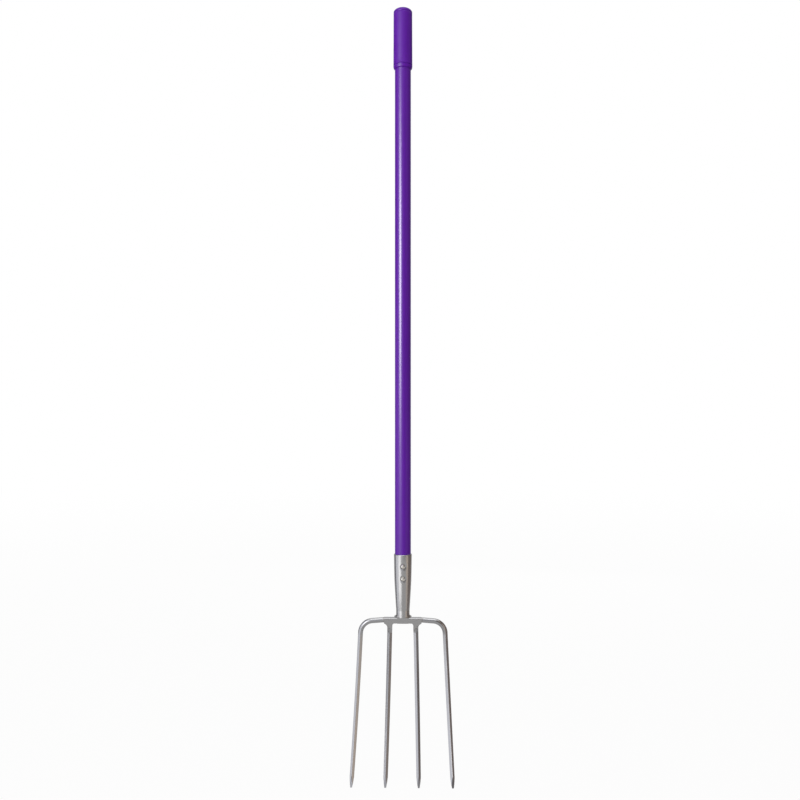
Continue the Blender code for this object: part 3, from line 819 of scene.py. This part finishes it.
def forge_inner(name, length):
    """A diamond whose corners widen into the flat sides of the nearly square root."""
    tine = start_tine(name, 0.6 * MM)
    root = length - root_spare
    chamfer = lower_edge + facet_lean * (facet_top - joint_z)
    stations = math.ceil(length / station_spacing)
    for step in range(stations + 1):
        if step:
            bpy.ops.mesh.extrude_region_move(TRANSFORM_OT_translate={"value": (0, 0, length / stations)})
        s = length * step / stations
        half_width, half_depth = tine_section(s / length)
        widening = min(max((s - root) / root_change + 1, 0), 1)
        half_width += (root_reach - half_width) * widening
        half_depth += (root_depth - half_depth) * widening
        fit_section(tine, half_width, half_depth, s)
        pick(tine, "VERT", lambda vert: at(vert.co.z, s) and abs(vert.co.x) > half_width - SLACK)
        resize_corner(tine, 1, corner_flat + widening * (root_depth - chamfer - corner_flat), s)
        pick(tine, "VERT", lambda vert: at(vert.co.z, s) and abs(vert.co.y) > half_depth - SLACK)
        resize_corner(tine, 0, corner_flat + widening * (root_reach - chamfer - corner_flat), s)
        pick(tine, "FACE", lambda face: all(at(vert.co.z, s) for vert in face.verts))
    return tine


# %% Grind the point
point_cuts = ((Vector((0, 1, 0)), 0.8 * MM, 3.9 * MM, 22 * MM),
              (Vector((1, 0, 0)), 1.6 * MM, 2.95 * MM, 8 * MM),
              (Vector((1, 0, 0)), 2.2 * MM, 4.2 * MM, 18 * MM))


def grind_point():
    """Flat cuts on the tine in edit mode: a long one in front and behind, two shorter on each side."""
    for side in (-1, 1):
        for direction, at_tip, at_end, end in point_cuts:
            across = direction * side
            rise = Vector((0, 0, end)) + across * (at_end - at_tip)
            normal = Vector((0, 0, 1)).cross(across).cross(rise).normalized()
            if normal.dot(across) < 0:
                normal.negate()
            saw(across * at_tip, normal, slack=fine)


# %% Bend a tine along its line
def bend_along(tine, points):
    """Bend the straight tine with a curve modifier, and remove the curve again."""
    bpy.ops.object.mode_set(mode="OBJECT")
    curve = bpy.data.curves.new(tine.name + "_line", "CURVE")
    curve.dimensions = "3D"
    curve.twist_mode = "MINIMUM"
    spline = curve.splines.new("POLY")
    spline.points.add(len(points) - 1)
    for knot, point in zip(spline.points, points):
        knot.co = (*point, 1)
    line = bpy.data.objects.new(tine.name + "_line", curve)
    bpy.context.scene.collection.objects.link(line)
    bend = tine.modifiers.new("bend", "CURVE")
    bend.object = line
    bend.deform_axis = "POS_Z"
    apply_modifiers(tine)
    bpy.data.objects.remove(line)


def mirrored_copy(piece, name):
    """A copy on the other side of the shaft."""
    copy = copied(piece, name)
    copy.scale = (-1, 1, 1)
    return copy


# %% Make the outer tines
points = outer_line()
length = line_length(points)
bend_start = line_length(points[:line_steps + 1])
outer_right = forge_outer("outer_tine_right_forged", length, bend_start)
grind_point()
bend_along(outer_right, points)
outer_left = mirrored_copy(outer_right, "outer_tine_left_forged")
finish_piece(outer_right, ["outer_tine_right"], sharp_angle=40)
finish_piece(outer_left, ["outer_tine_left"], sharp_angle=40)
print("outer tine with its rod: %.0f mm of bar" % (length / MM))

# %% Make the inner tines
points = inner_line()
length = line_length(points)
inner_right = forge_inner("inner_tine_right_forged", length)
grind_point()
bend_along(inner_right, points)
bpy.ops.object.mode_set(mode="EDIT")
saw((0, 0, joint_z), (0, 0, 1), slack=fine)
bpy.ops.object.mode_set(mode="OBJECT")
inner_left = mirrored_copy(inner_right, "inner_tine_left_forged")
finish_piece(inner_right, ["inner_tine_right"], sharp_angle=40)
finish_piece(inner_left, ["inner_tine_left"], sharp_angle=40)
print("inner tine: %.0f mm of bar" % (length / MM))

# %% [markdown]
# ## Finishes
# Each finish starts from what the real one is and how its surface was made. Colours are written
# as the hex values that a colour picker gives, and one function turns them to linear light,
# because Blender computes light in linear values and would show plain hex shares too pale.
# Another small function adds a node, sets its values and joins its inputs. Patterns read the
# piece's own coordinates in metres, so a scale is always one over a real size.

# %% Helpers for materials
def hex_colour(code):
    """Turn an sRGB hex code into linear RGBA."""
    channels = [int(code[i:i + 2], 16) / 255 for i in (1, 3, 5)]
    return tuple(c / 12.92 if c <= 0.04045 else ((c + 0.055) / 1.055) ** 2.4 for c in channels) + (1.0,)


def add_node(material, kind, inputs=None, **settings):
    """Add a node; an input given as a socket is joined, and any other value is set."""
    node = material.node_tree.nodes.new(kind)
    for name, value in settings.items():
        setattr(node, name, value)
    for name, value in (inputs or {}).items():
        if isinstance(value, bpy.types.NodeSocket):
            material.node_tree.links.new(value, node.inputs[name])
        else:
            node.inputs[name].default_value = value
    return node


def new_finish(name):
    """A material with its shader and the piece's own coordinates."""
    material = bpy.data.materials.new(name)
    material.use_nodes = True
    shader = material.node_tree.nodes["Principled BSDF"]
    place = add_node(material, "ShaderNodeTexCoord")
    return material, shader, place.outputs["Object"]


def dress(piece, material):
    """Give a piece one material."""
    piece.data.materials.clear()
    piece.data.materials.append(material)


# %% [markdown]
# ## Steel
# The head is bare carbon steel, cleaned after forging and left satin. One flat grey would look
# like paint, because real steel shows slow clouds where scale came off unevenly. A photograph of
# steel could be wrapped round it, but that would smear on the bends. So each steel mixes two
# close greys by a slow noise, is a little rougher where it is darker, and has a fine relief from
# the blast grit. Metallic is 1 and the index of refraction stays at Blender's value, as for any
# metal: its colour is what it reflects straight on.

# %% Steel
grit_depth = 0.05 * MM
roughness_spread = 0.03


def steel_finish(name, colour, dark_colour, roughness, cloud, grain, bump):
    """Bare steel: cloud and grain are the real sizes of its slow tone and its relief."""
    material, shader, place = new_finish(name)
    shader.inputs["Metallic"].default_value = 1.0
    mottle = add_node(material, "ShaderNodeTexNoise", {"Vector": place, "Scale": 1 / cloud,
                                                       "Detail": 5.0, "Roughness": 0.55})
    tint = add_node(material, "ShaderNodeMix", {"Factor": mottle.outputs["Fac"], "B": hex_colour(colour),
                                                "A": hex_colour(dark_colour)}, data_type="RGBA")
    material.node_tree.links.new(tint.outputs["Result"], shader.inputs["Base Color"])
    rough = add_node(material, "ShaderNodeMapRange", {"Value": mottle.outputs["Fac"],
                                                      "From Min": 0.3, "From Max": 0.7,
                                                      "To Min": roughness + roughness_spread,
                                                      "To Max": roughness - roughness_spread})
    material.node_tree.links.new(rough.outputs["Result"], shader.inputs["Roughness"])
    pits = add_node(material, "ShaderNodeTexNoise", {"Vector": place, "Scale": 1 / grain, "Detail": 3.0})
    relief = add_node(material, "ShaderNodeBump", {"Height": pits.outputs["Fac"], "Strength": bump,
                                                   "Distance": grit_depth})
    material.node_tree.links.new(relief.outputs["Normal"], shader.inputs["Normal"])
    print("%-20s %s to %s, roughness %.2f" % (name, dark_colour, colour, roughness))
    return material


# Blast grit leaves pits of about 0.2 mm, which is a tenth of what one dot of the picture covers.
# The relief is drawn five to twelve times as coarse, and faint, to dull a reflection's edge.

# Forged and blasted carbon steel: a soft even grey whose highlights have no hard edge.
satin_steel = steel_finish("forged_satin_steel", "#C4C4C5", "#BDBCBC", roughness=0.21,
                           cloud=16 * MM, grain=2.4 * MM, bump=0.01)
# Drawn and ground tine steel: smoother, so its facets show the glowing side screens' painted
# reflections as clear bluish and brownish bands.
tine_steel = steel_finish("drawn_tine_steel", "#C4C4C6", "#BEBEC0", roughness=0.17,
                          cloud=16 * MM, grain=2.4 * MM, bump=0.0)
# Weld metal dressed with a grinder: a shade darker and duller, with small uneven patches.
weld_steel = steel_finish("dressed_weld_steel", "#BDBBB9", "#AEABA9", roughness=0.26,
                          cloud=4 * MM, grain=1.6 * MM, bump=0.04)
# Bright rivet steel polished by the rivet set: two pale warm dots that catch the lamps.
rivet_steel = steel_finish("polished_rivet_steel", "#EEEAE2", "#E6E2DA", roughness=0.19,
                           cloud=3 * MM, grain=1 * MM, bump=0.02)
for piece in (socket, bar):
    dress(piece, satin_steel)
for piece in (outer_right, outer_left, inner_right, inner_left):
    dress(piece, tine_steel)
for piece in rivets:
    dress(piece, rivet_steel)
for name in ("foot_weld_fillet", "outer_weld_right_bead", "outer_weld_left_bead"):
    dress(bpy.data.objects[name], weld_steel)

# %% [markdown]
# ## Purple coating
# The tube is coated with purple powder that is baked to a glossy skin. It could be given a clear
# coat over a matt base, but the pigment is in the skin itself, so one smooth plastic like layer
# is truer, and it keeps the purple deep beside the highlight. Its powder pools a little, which
# gives slow changes of tone over some centimetres, and it bakes with the faint waves that are
# called orange peel, a few millimetres across. Baked polyester has an index of refraction of
# about 1.5, which is Blender's value.

# %% Purple coating
# Glossy baked powder: deep purple with one long soft streak where it mirrors the tall lamps.
coat, shader, place = new_finish("gloss_purple_powder_coat")
cloud = add_node(coat, "ShaderNodeTexNoise", {"Vector": place, "Scale": 1 / (45 * MM), "Detail": 2.0})
tint = add_node(coat, "ShaderNodeMix", {"Factor": cloud.outputs["Fac"], "A": hex_colour("#5B04A0"),
                                        "B": hex_colour("#6104A8")}, data_type="RGBA")
coat.node_tree.links.new(tint.outputs["Result"], shader.inputs["Base Color"])
shader.inputs["Roughness"].default_value = 0.31
peel = add_node(coat, "ShaderNodeTexNoise", {"Vector": place, "Scale": 1 / (3 * MM), "Detail": 2.0})
relief = add_node(coat, "ShaderNodeBump", {"Height": peel.outputs["Fac"], "Strength": 0.02,
                                           "Distance": 0.05 * MM})
coat.node_tree.links.new(relief.outputs["Normal"], shader.inputs["Normal"])
dress(shaft, coat)
print("shaft dressed with", coat.name)

# %% [markdown]
# ## Purple plastic
# The grip is moulded from purple polypropylene in a mould whose walls are spark eroded, so it is
# satin and not glossy. A rougher copy of the coating would look like dull paint, because it
# would still shine as strongly at its edges. So its specular level is lower as well, its tone
# drifts slightly as the plastic flowed, and it carries the mould's fine grain. Its index of
# refraction is 1.49, so Blender's 1.5 stays.

# %% Purple plastic
# Satin moulded polypropylene: the shaft's purple with broad soft light and no streak. Spark
# eroded grain is about 0.1 mm, too fine to show here, so it is drawn twelve times as coarse.
plastic, shader, place = new_finish("satin_purple_polypropylene")
cloud = add_node(plastic, "ShaderNodeTexNoise", {"Vector": place, "Scale": 1 / (14 * MM), "Detail": 3.0})
tint = add_node(plastic, "ShaderNodeMix", {"Factor": cloud.outputs["Fac"], "A": hex_colour("#5A07A0"),
                                           "B": hex_colour("#6209A8")}, data_type="RGBA")
plastic.node_tree.links.new(tint.outputs["Result"], shader.inputs["Base Color"])
rough = add_node(plastic, "ShaderNodeMapRange", {"Value": cloud.outputs["Fac"], "From Min": 0.3,
                                                 "From Max": 0.7, "To Min": 0.39, "To Max": 0.45})
plastic.node_tree.links.new(rough.outputs["Result"], shader.inputs["Roughness"])
eroded = add_node(plastic, "ShaderNodeTexNoise", {"Vector": place, "Scale": 1 / (1.2 * MM), "Detail": 2.0})
relief = add_node(plastic, "ShaderNodeBump", {"Height": eroded.outputs["Fac"], "Strength": 0.2,
                                              "Distance": 0.05 * MM})
plastic.node_tree.links.new(relief.outputs["Normal"], shader.inputs["Normal"])
shader.inputs["Specular IOR Level"].default_value = 0.28
dress(grip, plastic)
print("grip dressed with", plastic.name)

# %% [markdown]
# ## Wood of the hidden core
# A turned beech plug fills the tube where the rivets squeeze it. It is hidden, so its plain
# solid stays and only gets a finish. A ring pattern could be painted for the end grain, but the
# sides are what a saw cut would show first. A wave pattern stands for the growth rings, and a
# noise stretched along the grain for the short dark flecks that beech is known by.

# %% Wood of the hidden core
# Raw beech: pinkish tan bands with short brown flecks along the grain, and no shine. The wave
# node repeats about every third of its scale, so 9 mm gives growth rings about 3 mm apart.
core_wood, shader, place = new_finish("raw_beech_core")
rings = add_node(core_wood, "ShaderNodeTexWave", {"Vector": place, "Scale": 1 / (9 * MM), "Distortion": 1.5,
                                                  "Detail": 2.0, "Detail Scale": 2.0}, bands_direction="X")
fibre_place = add_node(core_wood, "ShaderNodeMapping", {"Vector": place, "Scale": (1.0, 1.0, 0.08)})
fibres = add_node(core_wood, "ShaderNodeTexNoise", {"Vector": fibre_place.outputs["Vector"],
                                                    "Scale": 1 / (0.8 * MM)})
year = add_node(core_wood, "ShaderNodeMix", {"Factor": rings.outputs["Fac"], "A": hex_colour("#BD9468"),
                                             "B": hex_colour("#AB8158")}, data_type="RGBA")
fleck = add_node(core_wood, "ShaderNodeMapRange", {"Value": fibres.outputs["Fac"], "From Min": 0.55,
                                                   "From Max": 0.75, "To Max": 0.6})
wood = add_node(core_wood, "ShaderNodeMix", {"Factor": fleck.outputs["Result"], "A": year.outputs["Result"],
                                             "B": hex_colour("#8A6240")}, data_type="RGBA")
core_wood.node_tree.links.new(wood.outputs["Result"], shader.inputs["Base Color"])
shader.inputs["Roughness"].default_value = 0.7
dress(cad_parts["shaft_core"], core_wood)
print("core dressed with", core_wood.name)

# %% [markdown]
# ## Floor and background
# The fork stands on a plain pale floor in front of a white background. More light would make the
# floor white too, but it would also bleach the fork. So the lamps stay as they are, and the
# floor is only seen as white. Near the fork it is an ordinary matt surface that takes light and
# shadow, lifted most of the way toward white for the camera. Farther out it fades into plain
# white, so that floor and background meet almost unseen. Steel mirrors the floor as a glow of
# fixed tone in place of its lit surface: a painted reflection, pale grey near the fork and white
# farther out.

# %% Lay the floor
floor_size = 40
near_radius = 0.2
far_radius = 6.0
camera_lift = 0.96
bpy.ops.object.select_all(action="DESELECT")
bpy.ops.mesh.primitive_plane_add(size=floor_size, location=(0, 0, 0))
floor = bpy.context.object
floor.name = "floor"
print("floor laid, matt to %.1f m and white from %.1f m" % (near_radius, far_radius))


# %% Who looks: the camera, or a mirror
def seen_rays(material):
    """Is Camera Ray, Is Glossy Ray, and 1 for a ray of the camera, a mirror or glass."""
    rays = add_node(material, "ShaderNodeLightPath")
    mirrored = add_node(material, "ShaderNodeMath", {0: rays.outputs["Is Glossy Ray"],
                                                     1: rays.outputs["Is Transmission Ray"]},
                        operation="ADD")
    seen = add_node(material, "ShaderNodeMath", {0: rays.outputs["Is Camera Ray"], 1: mirrored.outputs[0]},
                    operation="ADD", use_clamp=True)
    return rays.outputs["Is Camera Ray"], rays.outputs["Is Glossy Ray"], seen.outputs[0]


# %% Paint the floor
# Pale matt paint: to the eye nearly white, with a trace of the fork's shadow and no shine.
pale, shader, place = new_finish("pale_matt_floor")
shader.inputs["Base Color"].default_value = hex_colour("#D4D2D0")
shader.inputs["Roughness"].default_value = 0.9
shader.inputs["Specular IOR Level"].default_value = 0.0
by_camera, by_mirror, seen = seen_rays(pale)
reach = add_node(pale, "ShaderNodeVectorMath", {0: place}, operation="LENGTH")
fade = add_node(pale, "ShaderNodeMapRange", {"Value": reach.outputs["Value"], "From Min": near_radius,
                                             "From Max": far_radius}, interpolation_type="SMOOTHSTEP")
far_white = add_node(pale, "ShaderNodeMath", {0: seen, 1: fade.outputs["Result"]}, operation="MULTIPLY")
lift = add_node(pale, "ShaderNodeMath", {0: by_camera, 1: camera_lift}, operation="MULTIPLY")
near = add_node(pale, "ShaderNodeMath", {0: lift.outputs[0], 1: by_mirror}, operation="MAXIMUM")
whiter = add_node(pale, "ShaderNodeMix", {"Factor": far_white.outputs[0], "A": near.outputs[0], "B": 1.0})
# In reflections the floor glows with a fixed tone, pale grey near the fork and white farther out: a painted
# reflection.
mirrored_floor_glow = add_node(pale, "ShaderNodeMix", {"Factor": fade.outputs["Result"], "A": hex_colour("#B9B8B7"),
                                              "B": (1, 1, 1, 1)}, data_type="RGBA")
tone = add_node(pale, "ShaderNodeMix", {"Factor": by_mirror, "A": (1, 1, 1, 1),
                                        "B": mirrored_floor_glow.outputs["Result"]}, data_type="RGBA")
white = add_node(pale, "ShaderNodeEmission", {"Color": tone.outputs["Result"], "Strength": 1.0})
blend = add_node(pale, "ShaderNodeMixShader", {0: whiter.outputs[0], 1: shader.outputs[0],
                                               2: white.outputs[0]})
pale.node_tree.links.new(blend.outputs[0], pale.node_tree.nodes["Material Output"].inputs["Surface"])
pale.cycles.emission_sampling = "NONE"
dress(floor, pale)
print("floor painted with", pale.name)

# %% Light the world
air_light = 0.42
world = bpy.data.worlds.new("studio_air")
world.use_nodes = True
bpy.context.scene.world = world
_, _, seen = seen_rays(world)
level = add_node(world, "ShaderNodeMapRange", {"Value": seen, "To Min": air_light, "To Max": 1.0})
air = world.node_tree.nodes["Background"]
air.inputs["Color"].default_value = (1, 1, 1, 1)
world.node_tree.links.new(level.outputs["Result"], air.inputs["Strength"])
print("white background, which lights the fork at", air_light)

# %% [markdown]
# ## Studio walls
# Steel shows little but its surroundings, and an all white room would leave it flat. Real
# photographers put boards and dark corners round a shiny thing. This scene stands glowing walls
# all round the fork instead, and only its reflections see them, so they are painted reflections.
# They glow pale at the left and dim and brownish at the right, with a light ceiling.
# A round wall with a colour ramp is simpler than a room of boards, and its tones change softly.

# %% Put up the studio walls
wall_reach = 2.6
wall_centre = Vector((0, axis_y, 0.6))


def only_in_mirrors(piece):
    """Keep a piece of the studio out of all but the reflections."""
    piece.visible_camera = False
    piece.visible_diffuse = False
    piece.visible_shadow = False
    piece.visible_transmission = False


bpy.ops.object.select_all(action="DESELECT")
bpy.ops.mesh.primitive_uv_sphere_add(segments=72, ring_count=36, radius=wall_reach, location=wall_centre)
walls = bpy.context.object
walls.name = "studio_walls"
bpy.ops.object.transform_apply(location=True, rotation=True, scale=True)
only_in_mirrors(walls)
print("walls stand %.1f m from the shaft" % wall_reach)


# %% Paint the glow that the studio walls show in reflections
def self_lit(material, colour):
    """Let a material shine with a colour, at the brightness that the colour has on paper."""
    glow = add_node(material, "ShaderNodeEmission", {"Color": colour, "Strength": 1.0})
    surface = material.node_tree.nodes["Material Output"].inputs["Surface"]
    material.node_tree.links.new(glow.outputs[0], surface)
    material.cycles.emission_sampling = "NONE"


# Azimuths are in degrees from straight in front, with the viewer's right positive.
# Painted reflections: the wall's glow round the fork, pale and cool at the left, dim and brownish at the
# right.
wall_reflection_tones = ((-180, "#CACACC"), (-152, "#C4C4C6"), (-140, "#66666A"), (-114, "#66666A"), (-96, "#8C8C92"),
              (-78, "#C6C7CF"), (-56, "#ECECF2"), (-20, "#D0D0D4"), (0, "#BCBCC0"), (14, "#777474"),
              (30, "#7A726C"), (46, "#A89A8E"), (66, "#A89A8E"), (90, "#6E6660"), (140, "#6E6660"),
              (152, "#C4C2C0"), (180, "#CACACC"))
ceiling_from, ceiling_full = 0.66 * wall_reach, 0.85 * wall_reach

# Glow that only reflections see: a painted reflection that gives a rod one bright side and one
# darker, warmer side.
wall_glow_material, _, place = new_finish("studio_wall_paint")
spot = add_node(wall_glow_material, "ShaderNodeVectorMath", {0: place, 1: tuple(wall_centre)}, operation="SUBTRACT")
axes = add_node(wall_glow_material, "ShaderNodeSeparateXYZ", {0: spot.outputs[0]})
ahead = add_node(wall_glow_material, "ShaderNodeMath", {0: axes.outputs["Y"], 1: -1.0}, operation="MULTIPLY")
around = add_node(wall_glow_material, "ShaderNodeMath", {0: axes.outputs["X"], 1: ahead.outputs[0]}, operation="ARCTAN2")
turn = add_node(wall_glow_material, "ShaderNodeMapRange", {"Value": around.outputs[0], "From Min": -math.pi,
                                             "From Max": math.pi})
paint = add_node(wall_glow_material, "ShaderNodeValToRGB", {0: turn.outputs["Result"]})
paint.color_ramp.elements.remove(paint.color_ramp.elements[1])
for index, (azimuth, code) in enumerate(wall_reflection_tones):
    place_on_ramp = (azimuth + 180) / 360
    stop = paint.color_ramp.elements[0] if index == 0 else paint.color_ramp.elements.new(place_on_ramp)
    stop.position = place_on_ramp
    stop.color = hex_colour(code)
climb = add_node(wall_glow_material, "ShaderNodeMapRange", {"Value": axes.outputs["Z"], "From Min": ceiling_from,
                                              "From Max": ceiling_full}, interpolation_type="SMOOTHSTEP")
tone = add_node(wall_glow_material, "ShaderNodeMix", {"Factor": climb.outputs["Result"], "A": paint.outputs["Color"],
                                        "B": hex_colour("#F4F4F4")}, data_type="RGBA")
self_lit(wall_glow_material, tone.outputs["Result"])
dress(walls, wall_glow_material)
print("walls painted with", len(wall_reflection_tones), "tones")


# %% Put up a screen on each side
def side_screen(name, x, ahead, behind, near_colour, far_colour, far_from, far_to, above_colour,
                fade_from, fade_to, height=1.0):
    """A screen beside the fork that glows only in reflections: near colour ahead, far colour behind,
    another above.
    """
    bpy.ops.object.select_all(action="DESELECT")
    bpy.ops.mesh.primitive_plane_add(size=1, location=(x, axis_y + (behind - ahead) / 2, height / 2),
                                     rotation=(0, -math.pi / 2, 0))
    screen = bpy.context.object
    screen.name = name
    screen.scale = (height, ahead + behind, 1)
    bpy.ops.object.transform_apply(location=True, rotation=True, scale=True)
    only_in_mirrors(screen)
    reflection_glow, _, place = new_finish(name + "_cloth")
    axes = add_node(reflection_glow, "ShaderNodeSeparateXYZ", {0: place})
    back = add_node(reflection_glow, "ShaderNodeMapRange", {"Value": axes.outputs["Y"], "From Min": far_from,
                                                  "From Max": far_to}, interpolation_type="SMOOTHSTEP")
    foot = add_node(reflection_glow, "ShaderNodeMix", {"Factor": back.outputs["Result"], "A": hex_colour(near_colour),
                                             "B": hex_colour(far_colour)}, data_type="RGBA")
    climb = add_node(reflection_glow, "ShaderNodeMapRange", {"Value": axes.outputs["Z"], "From Min": fade_from,
                                                   "From Max": fade_to}, interpolation_type="SMOOTHSTEP")
    tone = add_node(reflection_glow, "ShaderNodeMix", {"Factor": climb.outputs["Result"], "A": foot.outputs["Result"],
                                             "B": hex_colour(above_colour)}, data_type="RGBA")
    # The screen glows with these tones: a painted reflection of light and shade for the steel.
    self_lit(reflection_glow, tone.outputs["Result"])
    dress(screen, reflection_glow)
    print("%-13s %.2f m from the shaft" % (name, abs(x)))


# The right hand screen glows in reflections only: it paints a warm light ahead of the right facets
# and a brown shade behind them.
side_screen("right_screen", x=0.85, ahead=0.85, behind=0.85, near_colour="#DACBBD", far_colour="#857A75",
            far_from=-0.34, far_to=-0.2, above_colour="#6A625C", fade_from=0.55, fade_to=0.9)
# The left hand screen glows in reflections only: it paints a cool white light on the left facets.
side_screen("left_screen", x=-0.85, ahead=0.57, behind=0.85, near_colour="#F8F9FF", far_colour="#8E8E93",
            far_from=0.12, far_to=0.24, above_colour="#B4B4BA", fade_from=0.55, fade_to=0.8)


# %% [markdown]
# ## Lamps
# A tall softbox at the front left lights the fork, and a taller and weaker one behind it
# softens the ends of its reflection. The shaft's long streak needs a much stronger lamp, and on
# bare steel that would burn white spots. So two strong lamps in front of the softbox are linked
# to the shaft and the grip alone, and only show in reflections. Two fills that no reflection
# shows lift the left side and the back, a strip and a panel overhead brighten the rods, and a
# glow low at the left stands for light that a white floor throws back.

# %% How a lamp is made
streak_azimuth = -37


def softbox(name, azimuth, distance, height, width, tall, glare, aim_height=None):
    """A rectangular lamp at an azimuth from the front, aimed at the fork; glare is its radiance."""
    light = bpy.data.lights.new(name, "AREA")
    light.shape = "RECTANGLE"
    light.size = width
    light.size_y = tall
    light.energy = glare * width * tall * math.pi
    lamp = bpy.data.objects.new(name, light)
    bpy.context.scene.collection.objects.link(lamp)
    turn = math.radians(azimuth)
    lamp.location = (distance * math.sin(turn), axis_y - distance * math.cos(turn), height)
    aim = Vector((0, axis_y, height if aim_height is None else aim_height))
    lamp.rotation_euler = (aim - lamp.location).to_track_quat("-Z", "Y").to_euler()
    lamp.visible_camera = False
    print("%-22s %5.1f W" % (name, light.energy))
    return lamp


# %% Set the softboxes at the left
softbox("left_softbox", streak_azimuth, distance=2.0, height=1.235, width=1.2, tall=1.23, glare=1.4)
softbox("left_softbox_spread", streak_azimuth, distance=2.02, height=1.1, width=1.2, tall=1.9, glare=0.6)

# %% Set the lamps for the streak
coated = bpy.data.collections.new("coated_pieces")
for piece in (shaft, grip):
    coated.objects.link(piece)
streak_lamps = (softbox("left_softbox_middle", streak_azimuth, distance=1.98, height=1.26, width=0.6,
                        tall=1.0, glare=21.0),
                softbox("left_softbox_core", streak_azimuth, distance=1.98, height=1.32, width=0.6,
                        tall=0.34, glare=22.0))
for lamp in streak_lamps:
    lamp.visible_diffuse = False
    lamp.light_linking.receiver_collection = coated

# %% Set the fills and the lamps overhead
left_fill = softbox("left_fill", -45, distance=2.1, height=1.2, width=1.2, tall=1.2, glare=1.8)
back_fill = softbox("back_fill", 170, distance=2.2, height=1.0, width=1.5, tall=1.6, glare=1.6)
for fill in (left_fill, back_fill):
    fill.visible_glossy = False
softbox("front_top_strip", 0, distance=1.7, height=2.35, width=1.6, tall=0.45, glare=0.8, aim_height=0.3)
softbox("overhead_panel", 0, distance=0.75, height=2.55, width=1.6, tall=1.0, glare=1.0, aim_height=0.3)
glow_azimuth = -46
floor_glow = softbox("floor_glow_left", glow_azimuth, distance=1.65, height=0.01, width=1.2, tall=1.5,
                     glare=1.15)
floor_glow.rotation_euler = (math.pi, 0, math.radians(glow_azimuth))
